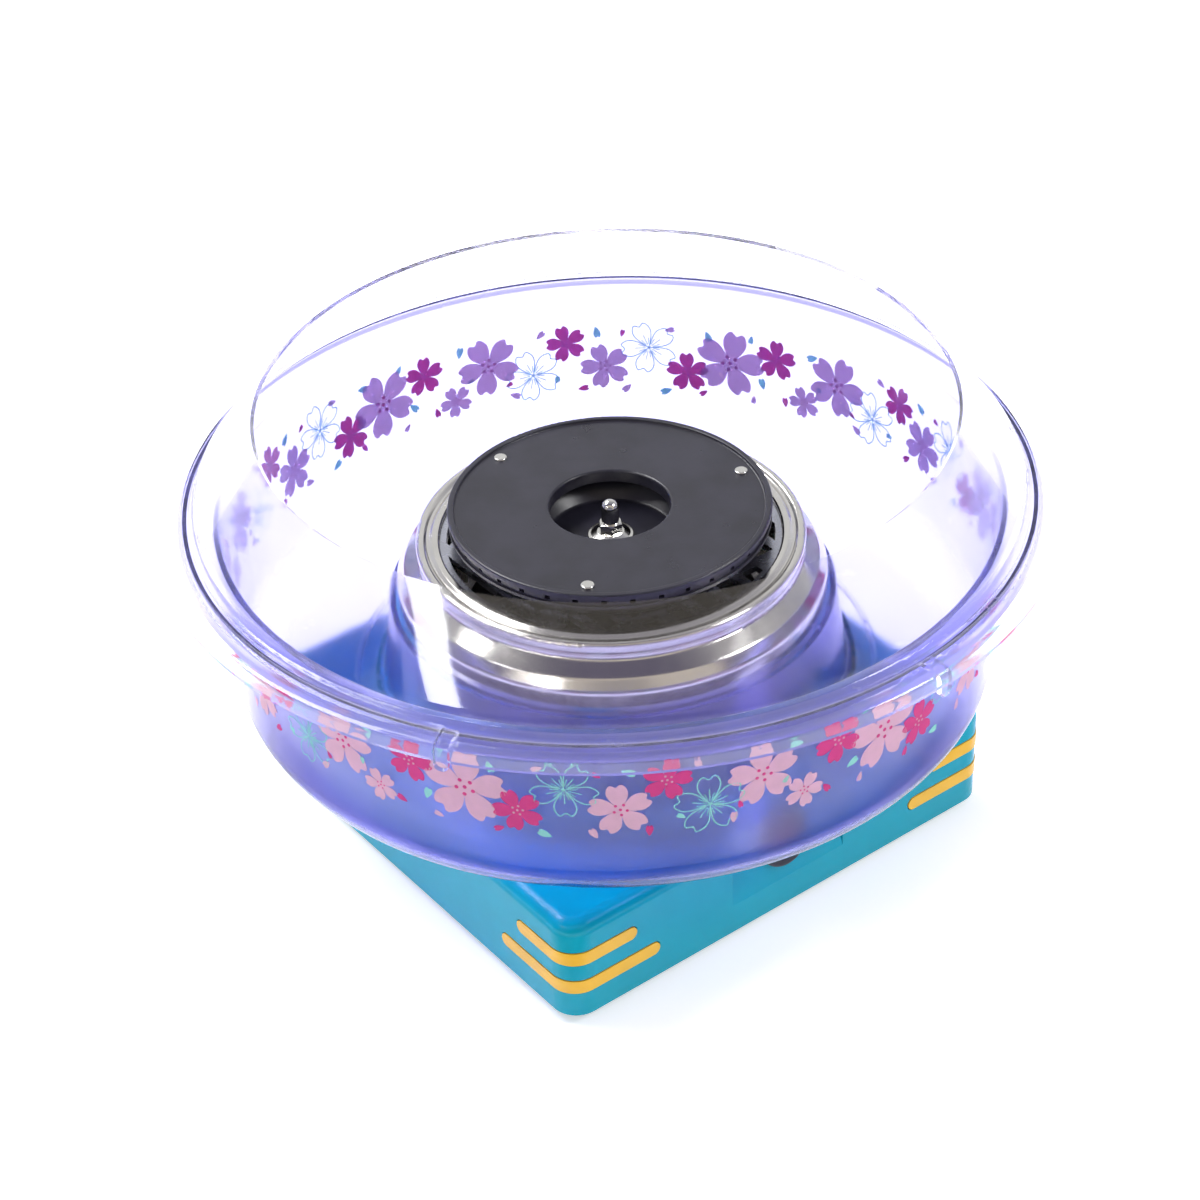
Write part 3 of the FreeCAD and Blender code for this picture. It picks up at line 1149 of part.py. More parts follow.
def head_pan():
    """Dish under the lid: deep well round the shaft, cone, flat melting annulus, small boss."""
    path = [
        (THREAD_R, WELL_FLOOR, 0), (PAN_WELL_R, WELL_FLOOR, 2.0),
        (PAN_CONE_R, PAN_TOP, 2.5), (HEAD_R - PAN_INSET, PAN_TOP, 0)]
    pan = turned(sheet_section(path, PAN_THICK))
    boss = cylinder(PAN_HUB_R, WELL_FLOOR - PAN_THICK / 2, PAN_HUB_TOP)
    pan = fused([pan, boss]).cut(cylinder(THREAD_R + PART_GAP, WELL_UNDER - 5, PAN_HUB_TOP + 5))
    for x, y in rivet_places():
        pan = pan.cut(cylinder(RIVET_R + PART_GAP, PAN_LOW - 1, PAN_TOP + 1, x, y))
    return pan


def head_rivets():
    low, high = PAN_LOW - RIVET_TAIL, LID_TOP + RIVET_HEAD
    rivet = turned([
        (0, low, 0), (RIVET_TAIL_R, low, 0.4), (RIVET_TAIL_R, PAN_LOW, 0), (RIVET_R, PAN_LOW, 0),
        (RIVET_R, LID_TOP, 0), (RIVET_HEAD_R, LID_TOP, 0.1), (RIVET_HEAD_R, high, 0.5), (0, high, 0)])
    return [moved(rivet, x, y, 0) for x, y in rivet_places()]


def rivet_spacers():
    return [ring(SPACER_R, RIVET_R + PART_GAP, PAN_TOP, LID_LOW, x, y) for x, y in rivet_places()]


def drive_collar():
    bore, flange_r = SHAFT_R + PART_GAP, COLLAR_R + COLLAR_FLANGE
    collar = turned([
        (bore, COLLAR_LOW, 0), (COLLAR_R - COLLAR_TAPER, COLLAR_LOW, 1.0),
        (COLLAR_R, COLLAR_TOP - 2 * COLLAR_FLANGE, 0.5), (flange_r, COLLAR_TOP - COLLAR_FLANGE, 0.5),
        (flange_r, COLLAR_TOP, 0), (bore, COLLAR_TOP, 0)])
    mid = COLLAR_LOW + COLLAR_LENGTH / 2
    return collar.cut(Part.makeCylinder(
        DRIVE_PIN_R + PART_GAP, 4 * COLLAR_R, V(-2 * COLLAR_R, 0, mid), V(1, 0, 0)))


def drive_pin():
    reach = COLLAR_R + DRIVE_PIN_PROUD
    mid = COLLAR_LOW + COLLAR_LENGTH / 2
    return Part.makeCylinder(DRIVE_PIN_R, 2 * reach, V(-reach, 0, mid), V(1, 0, 0))


def clamp_washer():
    """Dished washer: it bears on the pan's boss at its edge and on the nut at its middle."""
    low, rim_top = PAN_HUB_TOP, PAN_HUB_TOP + WASHER_THICK
    bore, rim_r = THREAD_R + SCREW_GAP, WASHER_R - WASHER_RIM
    middle_r = rim_r - WASHER_SLOPE
    return turned([
        (bore, low + WASHER_DISH, 0), (middle_r, low + WASHER_DISH, 1.0), (rim_r, low, 0.3),
        (WASHER_R, low, 0.2), (WASHER_R, rim_top, 0.3), (rim_r, rim_top, 0.8),
        (middle_r, WASHER_TOP, 1.0), (bore, WASHER_TOP, 0)])


def cap_nut():
    """Domed nut: chamfered hexagon with a tall round cap over the shaft's end."""
    low, hex_top, top = WASHER_TOP, WASHER_TOP + NUT_HEX, WASHER_TOP + NUT_HEIGHT
    corner = NUT_AF / math.sqrt(3)
    bevel = turned([
        (0, low, 0), (corner - 0.3, low, 0), (corner + 0.1, low + 0.5, 0), (corner + 0.1, hex_top - 0.6, 0),
        (NUT_AF / 2 - 0.1, hex_top, 0), (0, hex_top, 0)])
    hexed = hexagon(NUT_AF, low, hex_top)
    cap = turned([
        (0, low, 0), (NUT_DOME_R, low, 0), (NUT_DOME_R, top, NUT_DOME_R - 0.01), (0, top, 0)])
    bore = cylinder(THREAD_R + PART_GAP, low - 1, hex_top + THREAD_PAST_HEX + 0.5)
    return fused([hexed.common(bevel), cap]).cut(bore)


# ---------------------------------------------------------------- bowl and shield

def floss_bowl():
    """Bowl: flared collar round the hub, locating step, rounded floor, wide flat rim."""
    floor = PLINTH + BOWL_WALL
    collar_r = HUB_R + BOWL_COLLAR_GAP + BOWL_WALL
    low_floor = floor - SEAT_STEP
    rim_in = RIM_TOP - BOWL_RIM_RISE
    step_r = HUB_R + SEAT_STEP_AT
    path = [
        (collar_r, PLINTH + BOWL_COLLAR_RISE, 0), (HUB_R + BOWL_COLLAR_FLARE, floor, BOWL_COLLAR_FILLET),
        (step_r, floor, 0.8), (step_r + SEAT_STEP, low_floor, 0.8),
        (BOWL_FLOOR_R, low_floor, BOWL_FLOOR_FILLET), (BOWL_RIM_IN_R, rim_in, 1.2),
        (BOWL_RIM_OUT_R - BOWL_RIM_LAND, RIM_TOP, 3.0), (BOWL_RIM_OUT_R, RIM_TOP, 2.4),
        (BOWL_RIM_OUT_R + BOWL_RIM_FLARE, RIM_TOP - BOWL_RIM_TURN, 0)]
    return turned(sheet_section(path, BOWL_WALL))


def shield_clip():
    """Tongue that starts on the flange, arches over its edge and hangs past the skirt."""
    inner = SHIELD_SKIRT_R - CLIP_REACH
    outer = SHIELD_SKIRT_R + CLIP_THICK
    top = FLANGE_TOP + CLIP_THICK
    low = FLANGE_TOP - SHIELD_SKIRT_DROP - CLIP_BELOW
    sunk_r, sunk_z = SHIELD_SKIRT_R - CLIP_SUNK, FLANGE_TOP - CLIP_SUNK
    section = [
        (inner, sunk_z, 0), (inner + 1.2, top, 1.0), (outer, top, 4.0), (outer, low, 0),
        (sunk_r, low, 0), (sunk_r, FLANGE_TOP - 3.0, 0), (SHIELD_SKIRT_R - 3.0, sunk_z, 0)]
    tongue = Part.Face(outline(section)).extrude(V(0, CLIP_WIDTH, 0))
    tongue.translate(V(0, -CLIP_WIDTH / 2, 0))
    tips = [e for e in tongue.Edges
            if abs(e.Vertexes[0].Z - low) < 1e-6 and abs(e.Vertexes[-1].Z - low) < 1e-6
            and abs(e.Vertexes[0].X - e.Vertexes[-1].X) > 1]
    return tongue.makeFillet(CLIP_WIDTH * 0.45, tips)


def splash_shield():
    """Clear shield: flared wall, foot bead on the bowl's rim, flange, skirt, six clip tongues."""
    top = HEAD_TOP + SHIELD_TOP_OVER_HEAD
    neck = HEAD_TOP + SHIELD_NECK_OVER_HEAD
    path = [
        (SHIELD_TOP_R - SHIELD_TOP_LIP, top, 0), (SHIELD_NECK_R, neck, 5.0),
        (SHIELD_FOOT_R, FLANGE_TOP, 1.0), (SHIELD_SKIRT_R - SHIELD_SKIRT_DRAFT, FLANGE_TOP, 2.5),
        (SHIELD_SKIRT_R, FLANGE_TOP - SHIELD_SKIRT_DROP, 0)]
    shell = turned(sheet_section(path, SHIELD_WALL))
    bead_r = BOWL_RIM_OUT_R - BOWL_RIM_LAND / 2
    bead = ring(bead_r, bead_r - SHIELD_BEAD, RIM_TOP, FLANGE_TOP - SHIELD_WALL / 2)
    return fused([shell, bead] + around(shield_clip(), CLIPS, CLIP_TURN))


# ---------------------------------------------------------------- all sub-parts

os.makedirs("parts", exist_ok=True)

save("base_housing", base_housing())
for corner_name, turn in (("rear_right", 0), ("rear_left", 90), ("front_left", 180), ("front_right", 270)):
    save("corner_trim_" + corner_name, spun(corner_trim(), turn))
save("base_plate", base_plate())
save("plate_screws", plate_screws())
for corner_name, (fx, fy) in zip(
        ("rear_right", "rear_left", "front_left", "front_right"), corners_of_square(FOOT_AT)):
    save("foot_" + corner_name, moved(foot(), fx, fy, 0))
save("foot_screws", foot_screws())

save("rectifier_board", rectifier_board())
save("board_screws", board_screws())

save("switch_body", switch_body())
save("switch_rocker", switch_rocker())
save("switch_terminals", switch_terminals())
save("cord_gland", cord_gland())
save("gland_nut", gland_nut())

save("motor_bracket", motor_bracket())
save("motor_can", motor_can())
save("motor_magnets", motor_magnets())
save("motor_end_cap", motor_end_cap())
save("motor_tabs", motor_tab_blocks())
save("bush_upper", bush(MOTOR_TOP + MOTOR_NECK - UPPER_BUSH_LENGTH, UPPER_BUSH_LENGTH))
save("bush_lower", bush(MOTOR_LOW, LOWER_BUSH_LENGTH))
save("carbon_brushes", brush_blocks())
save("motor_dampers", motor_dampers())
save("motor_screws", motor_screws())
save("motor_shaft", motor_shaft())
save("armature_core", armature())
save("armature_coils", armature_coils())
save("commutator", commutator())
save("cooling_fan", cooling_fan())

save("hub_ring", hub_ring())
save("hub_screws", hub_screws())
save("hub_nuts", hub_nuts())
save("guard_grille", guard_grille())
save("guard_clamps", guard_clamps())
save("clamp_screws", clamp_screws())
save("heat_reflector", heat_reflector())
save("heater_cradles", heater_cradles())
save("heater_ring", heater_ring())
save("ceramic_bushes", ceramic_bushes())
save("thermal_cutout", thermal_cutout())

save("head_lid", head_lid())
save("slot_band", slot_band())
save("head_pan", head_pan())
save("head_rivets", head_rivets())
save("rivet_spacers", rivet_spacers())
save("drive_collar", drive_collar())
save("drive_pin", drive_pin())
save("clamp_washer", clamp_washer())
save("cap_nut", cap_nut())

save("floss_bowl", floss_bowl())
save("splash_shield", splash_shield())
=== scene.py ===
# %% [markdown]
# # A table-top cotton candy machine
# The shapes that matter for fit and motion come ready made from CAD, as named nodes that stay
# where they are. This file gives them their finishes, adds the print and the small marks, and
# sets up the studio. Everything is in metres, with Z up and the switch on the -Y side.

import json
import math
import random

import bmesh
import bpy
from mathutils import Matrix, Vector


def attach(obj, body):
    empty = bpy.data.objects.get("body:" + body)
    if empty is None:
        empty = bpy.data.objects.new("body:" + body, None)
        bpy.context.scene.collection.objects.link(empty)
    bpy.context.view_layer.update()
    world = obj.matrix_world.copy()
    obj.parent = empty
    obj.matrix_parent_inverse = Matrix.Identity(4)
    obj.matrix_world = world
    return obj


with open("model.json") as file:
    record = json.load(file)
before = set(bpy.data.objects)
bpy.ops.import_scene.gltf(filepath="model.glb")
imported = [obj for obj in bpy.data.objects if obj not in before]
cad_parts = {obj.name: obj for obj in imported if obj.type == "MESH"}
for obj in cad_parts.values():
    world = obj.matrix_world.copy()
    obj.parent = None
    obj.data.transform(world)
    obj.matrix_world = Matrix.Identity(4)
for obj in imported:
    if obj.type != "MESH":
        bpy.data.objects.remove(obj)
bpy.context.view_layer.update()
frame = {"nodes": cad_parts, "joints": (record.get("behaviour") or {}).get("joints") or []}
nodes = frame["nodes"]
MM = 0.001  # one millimetre, in metres

# %% [markdown]
# ## Camera
# A product picture is taken from some way off with a long lens, so that the round bowl keeps its
# shape. The camera is placed from numbers: the point that it looks at, how far off it stands, how
# steeply it looks down, and how far it is turned round the machine.

# %% Place the camera
# metres, degrees, and millimetres for the lens
AIM = Vector((-0.00396, 0.00303, 0.08642))
DISTANCE = 1.0393
LOOKS_DOWN = 35.51
TURNED = -36.45
ROLL = -2.37
FOCAL_LENGTH = 83.1
SENSOR_WIDTH = 36.0

down, turn = math.radians(LOOKS_DOWN), math.radians(TURNED)
sight = Vector((-math.sin(turn) * math.cos(down), math.cos(turn) * math.cos(down), -math.sin(down)))
lens = bpy.data.cameras.new("studio_camera")
lens.lens = FOCAL_LENGTH
lens.sensor_width = SENSOR_WIDTH
camera = bpy.data.objects.new("studio_camera", lens)
bpy.context.scene.collection.objects.link(camera)
camera.matrix_world = (Matrix.Translation(AIM - sight * DISTANCE)
                       @ sight.to_track_quat("-Z", "Y").to_matrix().to_4x4()
                       @ Matrix.Rotation(math.radians(ROLL), 4, "Z"))
bpy.context.scene.camera = camera
print("camera at", [round(v, 3) for v in camera.matrix_world.translation])

# %% [markdown]
# ## Node helpers
# Every finish below is one Principled shader fed by a few textures. Wiring the same nodes by hand
# for each finish would hide what differs, so these helpers add the nodes that come up again and
# again. Sizes are given in metres, so a noise of 2 mm is 2 mm on the part.

# %% Material helpers
def finish(name):
    """A material with one Principled shader: returns (material, node tree, shader, output)."""
    made = bpy.data.materials.new(name)
    made.use_nodes = True
    tree = made.node_tree
    tree.nodes.clear()
    output = tree.nodes.new("ShaderNodeOutputMaterial")
    shader = tree.nodes.new("ShaderNodeBsdfPrincipled")
    tree.links.new(shader.outputs["BSDF"], output.inputs["Surface"])
    return made, tree, shader, output


def on_part(tree):
    """Coordinates that are fixed to the part, in metres."""
    return tree.nodes.new("ShaderNodeTexCoord").outputs["Object"]


def noise(tree, size, detail=2.0, where=None):
    """Soft noise whose blobs are about size metres across."""
    node = tree.nodes.new("ShaderNodeTexNoise")
    node.inputs["Scale"].default_value = 1.0 / size
    node.inputs["Detail"].default_value = detail
    tree.links.new(where or on_part(tree), node.inputs["Vector"])
    return node.outputs["Fac"]


def spread(tree, value, low, high, start=0.3, stop=0.7):
    """Turns start..stop of a value into low..high."""
    node = tree.nodes.new("ShaderNodeMapRange")
    node.inputs["From Min"].default_value = start
    node.inputs["From Max"].default_value = stop
    node.inputs["To Min"].default_value = low
    node.inputs["To Max"].default_value = high
    tree.links.new(value, node.inputs["Value"])
    return node.outputs["Result"]


def tones(tree, value, *colours):
    """A colour ramp over a value: colours are (place, (r, g, b)) pairs."""
    node = tree.nodes.new("ShaderNodeValToRGB")
    ramp = node.color_ramp
    while len(ramp.elements) < len(colours):
        ramp.elements.new(0.5)
    for element, (place, colour) in zip(ramp.elements, colours):
        element.position = place
        element.color = (*colour, 1.0)
    tree.links.new(value, node.inputs["Fac"])
    return node.outputs["Color"]


def relief(tree, shader, height, depth, under=None):
    """A bump of depth metres from a height map, on top of another bump if one is given."""
    node = tree.nodes.new("ShaderNodeBump")
    node.inputs["Strength"].default_value = 1.0
    node.inputs["Distance"].default_value = depth
    tree.links.new(height, node.inputs["Height"])
    if under is not None:
        tree.links.new(under, node.inputs["Normal"])
    tree.links.new(node.outputs["Normal"], shader.inputs["Normal"])
    return node.outputs["Normal"]


def drifting_colour(tree, shader, size, detail, deep, pale, ends=(0.3, 0.7)):
    """Lets the colour drift from deep to pale over blobs of size metres."""
    colour = tones(tree, noise(tree, size, detail), (ends[0], deep), (ends[1], pale))
    tree.links.new(colour, shader.inputs["Base Color"])


def drifting_gloss(tree, shader, size, detail, low, high):
    """Lets the roughness drift from low to high over blobs of size metres."""
    tree.links.new(spread(tree, noise(tree, size, detail), low, high), shader.inputs["Roughness"])


def wear(made, *names):
    """Gives a finish to CAD nodes."""
    for name in names:
        for place in nodes[name].material_slots:
            place.material = made


def lit(colour):
    """A colour given as 0..255 screen numbers, as the linear numbers that shaders use."""
    return tuple((c / 255 / 12.92) if c <= 10 else ((c / 255 + 0.055) / 1.055) ** 2.4 for c in colour)


def shades(colour, shade):
    """A deeper and a paler version of a colour, each off by the share shade."""
    return tuple(c * (1 - shade) for c in colour), tuple(min(c * (1 + shade), 1) for c in colour)


print("helpers ready")

# %% [markdown]
# ## Arithmetic with nodes
# A few finishes work something out at each point, such as how far it is from the axis or which way
# it faces. Math nodes could be added one by one, but a long row of them is hard to read. With these
# helpers such a rule reads like a formula.

# %% Arithmetic helpers
def feed(tree, node, values):
    """Feeds a node's first inputs: a socket is linked, and a plain value is set."""
    for socket, value in zip(node.inputs, values):
        if isinstance(value, bpy.types.NodeSocket):
            tree.links.new(value, socket)
        else:
            socket.default_value = value


def number_math(tree, operation, *values):
    """One step of arithmetic on numbers."""
    node = tree.nodes.new("ShaderNodeMath")
    node.operation = operation
    feed(tree, node, values)
    return node.outputs["Value"]


def vector_math(tree, operation, *values):
    """One step of arithmetic on vectors. A length or a dot product comes out as a number."""
    node = tree.nodes.new("ShaderNodeVectorMath")
    node.operation = operation
    feed(tree, node, values)
    return node.outputs["Value" if operation in ("LENGTH", "DOT_PRODUCT") else "Vector"]


def mixed(tree, share, first, second):
    """A Mix Shader: first where share is 0, second where it is 1."""
    node = tree.nodes.new("ShaderNodeMixShader")
    feed(tree, node, (share, first, second))
    return node.outputs["Shader"]


print("arithmetic ready")

# %% [markdown]
# ## Moulded plastic
# The base is injection moulded: glossy, with the very faint waviness of a polished mould and a
# colour that drifts by a few percent. The inside parts are duller mouldings. One function makes
# them all, because they differ only in colour, gloss and grain.

# %% Plastics
GLOSS_PATCH = 0.006
MOULD_WAVE = 0.03
MOULD_GRAIN = 0.0007


def moulded(name, colour, rough, shade=0.06, wave=0.00002, grain=0.0, ior=1.5, speck=0.012):
    """A moulded plastic: faint colour drift, uneven gloss, mould waviness, optional fine grain."""
    made, tree, shader, _ = finish(name)
    drifting_colour(tree, shader, speck, 3.0, *shades(colour, shade))
    drifting_gloss(tree, shader, GLOSS_PATCH, 4.0, rough * 0.85, rough * 1.2)
    shader.inputs["IOR"].default_value = ior
    under = relief(tree, shader, noise(tree, MOULD_WAVE, 1.0), wave)
    if grain:
        relief(tree, shader, noise(tree, MOULD_GRAIN, 2.0), grain, under=under)
    return made


teal = moulded("teal_plastic", lit((0, 160, 180)), 0.18, shade=0.03, wave=0.00004, ior=1.32)
yellow = moulded("yellow_trim", lit((240, 186, 40)), 0.22, shade=0.05)
black = moulded("black_plastic", lit((38, 38, 42)), 0.42, grain=0.00002)
nylon = moulded("white_moulding", lit((222, 220, 208)), 0.45)
fan_black = moulded("fan_plastic", lit((44, 44, 48)), 0.4)
magnet = moulded("magnet_grey", lit((70, 70, 74)), 0.7, grain=0.00004)
ceramic = moulded("white_ceramic", lit((232, 228, 218)), 0.3)
board_green = moulded("circuit_board", lit((22, 100, 56)), 0.3)
foot_rubber = moulded("foot_rubber", lit((40, 40, 42)), 0.8, grain=0.00006)
damper_rubber = moulded("damper_rubber", lit((52, 52, 54)), 0.75, grain=0.00006)
corners = ("rear_right", "rear_left", "front_left", "front_right")
wear(teal, "base_housing")
wear(yellow, *["corner_trim_" + c for c in corners])
wear(black, "base_plate", "switch_body", "cord_gland", "gland_nut")
wear(nylon, "motor_end_cap")
wear(fan_black, "cooling_fan")
wear(magnet, "motor_magnets", "carbon_brushes")
wear(ceramic, "ceramic_bushes", "heater_cradles", "thermal_cutout")
wear(board_green, "rectifier_board")
wear(foot_rubber, *["foot_" + c for c in corners])
wear(damper_rubber, "motor_dampers")
print("plastics done")

# %% [markdown]
# ## Red rocker
# The rocker is a dark red, slightly cloudy plastic. A plain red would look like paint. Subsurface
# lets light sink a little way in, red further than green and blue, and a thin coat gives the
# sharp gloss on top.

# %% Red rocker finish
rocker_red, tree, shader, _ = finish("red_rocker")
drifting_colour(tree, shader, 0.004, 2.0, lit((104, 8, 10)), lit((136, 14, 14)))
drifting_gloss(tree, shader, 0.003, 2.0, 0.10, 0.18)
shader.inputs["Coat Weight"].default_value = 0.5
shader.inputs["Subsurface Weight"].default_value = 0.2
shader.inputs["Subsurface Radius"].default_value = (0.004, 0.0008, 0.0008)
relief(tree, shader, noise(tree, 0.01, 1.0), 0.00002)
wear(rocker_red, "switch_rocker")
print("rocker finish:", rocker_red.name)

# %% [markdown]
# ## Metals
# Spun and turned parts carry fine rings left by the tool. Rings could be modelled, but they are
# only a few thousandths of a millimetre deep, so they are a bump: noise that depends only on the
# distance from the axis and on the height is the same all the way round.

# %% Metal finishes
STAIN = 0.02
POLISH_PATCH = 0.008
SHEET_WAVE = 0.025
RING_WIDTH = 0.0006
SMEAR = 0.25  # how far the polish strays from its mean, as a share of it


def rings(tree, size):
    """Noise that turns into fine rings round the machine's axis."""
    split = tree.nodes.new("ShaderNodeSeparateXYZ")
    tree.links.new(on_part(tree), split.inputs["Vector"])
    reach = vector_math(tree, "LENGTH", vector_math(tree, "MULTIPLY", on_part(tree), (1, 1, 0)))
    pair = tree.nodes.new("ShaderNodeCombineXYZ")
    tree.links.new(reach, pair.inputs["X"])
    tree.links.new(split.outputs["Z"], pair.inputs["Y"])
    return noise(tree, size, 3.0, where=pair.outputs["Vector"])


def metal(name, colour, rough, spun=0.0, shade=0.05, wave=0.00003):
    """A bare metal: faint stains in the colour, uneven polish, optional spinning rings."""
    made, tree, shader, _ = finish(name)
    shader.inputs["Metallic"].default_value = 1.0
    drifting_colour(tree, shader, STAIN, 3.0, *shades(colour, shade))
    drifting_gloss(tree, shader, POLISH_PATCH, 4.0, rough * (1 - SMEAR), rough * (1 + SMEAR))
    under = relief(tree, shader, noise(tree, SHEET_WAVE, 1.0), wave)
    if spun:
        relief(tree, shader, rings(tree, RING_WIDTH), spun, under=under)
        shader.inputs["Anisotropic"].default_value = 0.4
        around = tree.nodes.new("ShaderNodeTangent")
        around.direction_type = "RADIAL"
        around.axis = "Z"
        tree.links.new(around.outputs["Tangent"], shader.inputs["Tangent"])
    return made


polished = metal("polished_steel", (0.78, 0.76, 0.73), 0.13, spun=0.000002)
scorched = metal("bright_sheet", (0.10, 0.10, 0.11), 0.45, spun=0.000004, shade=0.2)
satin = metal("guard_satin", (0.52, 0.53, 0.60), 0.26, shade=0.1, wave=0.00006)
nickel = metal("bright_steel", (0.80, 0.79, 0.76), 0.16)
zinc = metal("zinc_screws", (0.66, 0.67, 0.70), 0.3)
zinc_sheet = metal("zinc_sheet", (0.62, 0.63, 0.65), 0.38)
laminations = metal("core_steel", (0.30, 0.30, 0.32), 0.45)
bronze = metal("bronze_bush", (0.55, 0.38, 0.20), 0.45)
brass = metal("brass_parts", (0.74, 0.56, 0.26), 0.25)
copper = metal("copper_coils", (0.70, 0.32, 0.15), 0.3)
sheath = metal("heater_sheath", (0.30, 0.27, 0.25), 0.45, shade=0.2)
wear(polished, "hub_ring")
wear(scorched, "heat_reflector")
wear(satin, "guard_grille")
wear(nickel, "motor_shaft", "head_rivets", "rivet_spacers", "drive_pin", "clamp_washer", "cap_nut")
wear(zinc, "plate_screws", "foot_screws", "board_screws", "motor_screws", "hub_screws", "hub_nuts",
     "clamp_screws")
wear(zinc_sheet, "motor_bracket", "motor_can", "guard_clamps")
wear(laminations, "armature_core")
wear(bronze, "bush_upper", "bush_lower")
wear(brass, "switch_terminals", "motor_tabs", "drive_collar")
wear(copper, "armature_coils", "commutator")
wear(sheath, "heater_ring")
print("metals done")

# %% [markdown]
# ## Black enamel
# The lid, the slotted band and the pan of the head are coated with a satin black, baked on: a
# little orange peel, and a few duller smears.

# %% Black enamel finish
enamel, tree, shader, _ = finish("black_enamel")
drifting_colour(tree, shader, 0.015, 4.0, lit((32, 31, 41)), lit((42, 41, 53)), ends=(0.35, 0.65))
drifting_gloss(tree, shader, 0.01, 4.0, 0.27, 0.36)
shader.inputs["IOR"].default_value = 1.55
relief(tree, shader, noise(tree, 0.0011, 2.0), 0.000012)
wear(enamel, "head_lid", "head_pan", "slot_band")
print("enamel finish:", enamel.name)

# %% [markdown]
# ## Clear and tinted mouldings
# Bowl and shield are solid clear plastic. Most of the bowl's tint is taken as light enters and
# leaves the wall, and the rest inside it, as a volume. A volume alone would be the plain way, but
# light that runs along inside a thick rim would then come out black, where real tinted edges
# glow. Light that only casts shadows goes straight through both.

# %% Clear finishes
def clear(name, rough, ior, tint, inner, density, shadow=(1, 1, 1)):
    """Clear plastic: tint where light crosses its surface, inner where it travels inside.

    density says how fast light inside turns to inner, and shadow colours what lamps send through.
    """
    made, tree, shader, output = finish(name)
    shader.inputs["Base Color"].default_value = (*tint, 1)
    shader.inputs["Transmission Weight"].default_value = 1.0
    shader.inputs["IOR"].default_value = ior
    shader.inputs["Coat Weight"].default_value = 1.0
    shader.inputs["Coat Roughness"].default_value = 0.02
    drifting_gloss(tree, shader, 0.012, 3.0, rough * 0.6, rough * 1.4)
    relief(tree, shader, noise(tree, 0.045, 1.0), 0.00004)
    passed = tree.nodes.new("ShaderNodeBsdfTransparent")
    passed.inputs["Color"].default_value = (*shadow, 1)
    to_lamp = tree.nodes.new("ShaderNodeLightPath").outputs["Is Shadow Ray"]
    surface = mixed(tree, to_lamp, shader.outputs["BSDF"], passed.outputs["BSDF"])
    tree.links.new(surface, output.inputs["Surface"])
    inside = tree.nodes.new("ShaderNodeVolumeAbsorption")
    inside.inputs["Color"].default_value = (*inner, 1)
    inside.inputs["Density"].default_value = density
    tree.links.new(inside.outputs["Volume"], output.inputs["Volume"])
    return made


bowl_clear = clear("lavender_bowl", 0.20, 1.10, tint=(0.64, 0.63, 0.94), inner=(0.06, 0.05, 0.78),
                   density=60.0, shadow=(0.82, 0.82, 0.96))
shield_clear = clear("clear_shield", 0.14, 1.08, tint=(1, 1, 1), inner=(0.86, 0.84, 0.96), density=20.0)
wear(bowl_clear, "floss_bowl")
wear(shield_clear, "splash_shield")
print("clear parts done")

# %% [markdown]
# ## Frost
# The mould that forms the outside of the bowl is finely blasted, so its outer faces are frosted:
# things well behind them blur, while the print that lies on them stays sharp. The inside is
# polished. Two materials would need the faces told apart by hand. Here the way that a face looks
# does it, outwards and down or inwards and up. Light that meets a face from within the wall sees
# its normal turned round, so that is undone. Rounded edges that look both outwards and down stay
# clear.

# %% Frost on the bowl's outside
FROST = 0.46
# how far a face looks out or down (0 is edge on, 1 is square, 1.41 is both), and what that gives
BEGINS = dict(low=0.0, high=1.0, start=-0.1, stop=0.1)
CLEARS_AT_EDGES = dict(low=1.0, high=0.0, start=1.1, stop=1.3)


def frost_outside(made, rough):
    """Frosts the faces that look outwards or down, and leaves the others as polished as they are."""
    tree = made.node_tree
    shader = next(n for n in tree.nodes if n.type == "BSDF_PRINCIPLED")
    polish = shader.inputs["Roughness"].links[0].from_socket
    place = tree.nodes.new("ShaderNodeTexCoord")
    level = vector_math(tree, "MULTIPLY", place.outputs["Object"], (1, 1, 0))
    out_and_down = vector_math(tree, "SUBTRACT", vector_math(tree, "NORMALIZE", level), (0, 0, 1))
    facing = vector_math(tree, "DOT_PRODUCT", out_and_down, place.outputs["Normal"])
    from_within = tree.nodes.new("ShaderNodeNewGeometry").outputs["Backfacing"]
    sign = spread(tree, from_within, 1.0, -1.0, start=0.0, stop=1.0)
    outer = number_math(tree, "MULTIPLY", facing, sign)
    share = number_math(tree, "MULTIPLY", spread(tree, outer, **BEGINS),
                        spread(tree, outer, **CLEARS_AT_EDGES))
    frosted = tree.nodes.new("ShaderNodeMix")
    tree.links.new(share, frosted.inputs["Factor"])
    tree.links.new(polish, frosted.inputs["A"])
    tree.links.new(spread(tree, noise(tree, 0.01, 3.0), rough * 0.85, rough * 1.15), frosted.inputs["B"])
    tree.links.new(frosted.outputs["Result"], shader.inputs["Roughness"])


frost_outside(bowl_clear, FROST)
print("frost up to", FROST)

# %% [markdown]
# ## Inks
# The print on the bowl is three screen-printed inks, and the marks on the switch are a fourth, in
# white. Ink lies a little unevenly, so its colour and gloss drift over a few millimetres. The
# bowl's inks let some light through, so that the far side of the band glows instead of going dark.

# %% Ink finishes
def ink(name, colour, shade=0.04, shows_through=0.45):
    """A thin screen-printed ink that lets some light through."""
    made = moulded(name, colour, 0.5, shade=shade, wave=0.00001, speck=0.004)
    shader = next(n for n in made.node_tree.nodes if n.type == "BSDF_PRINCIPLED")
    shader.inputs["Transmission Weight"].default_value = shows_through
    shader.inputs["IOR"].default_value = 1.2
    return made


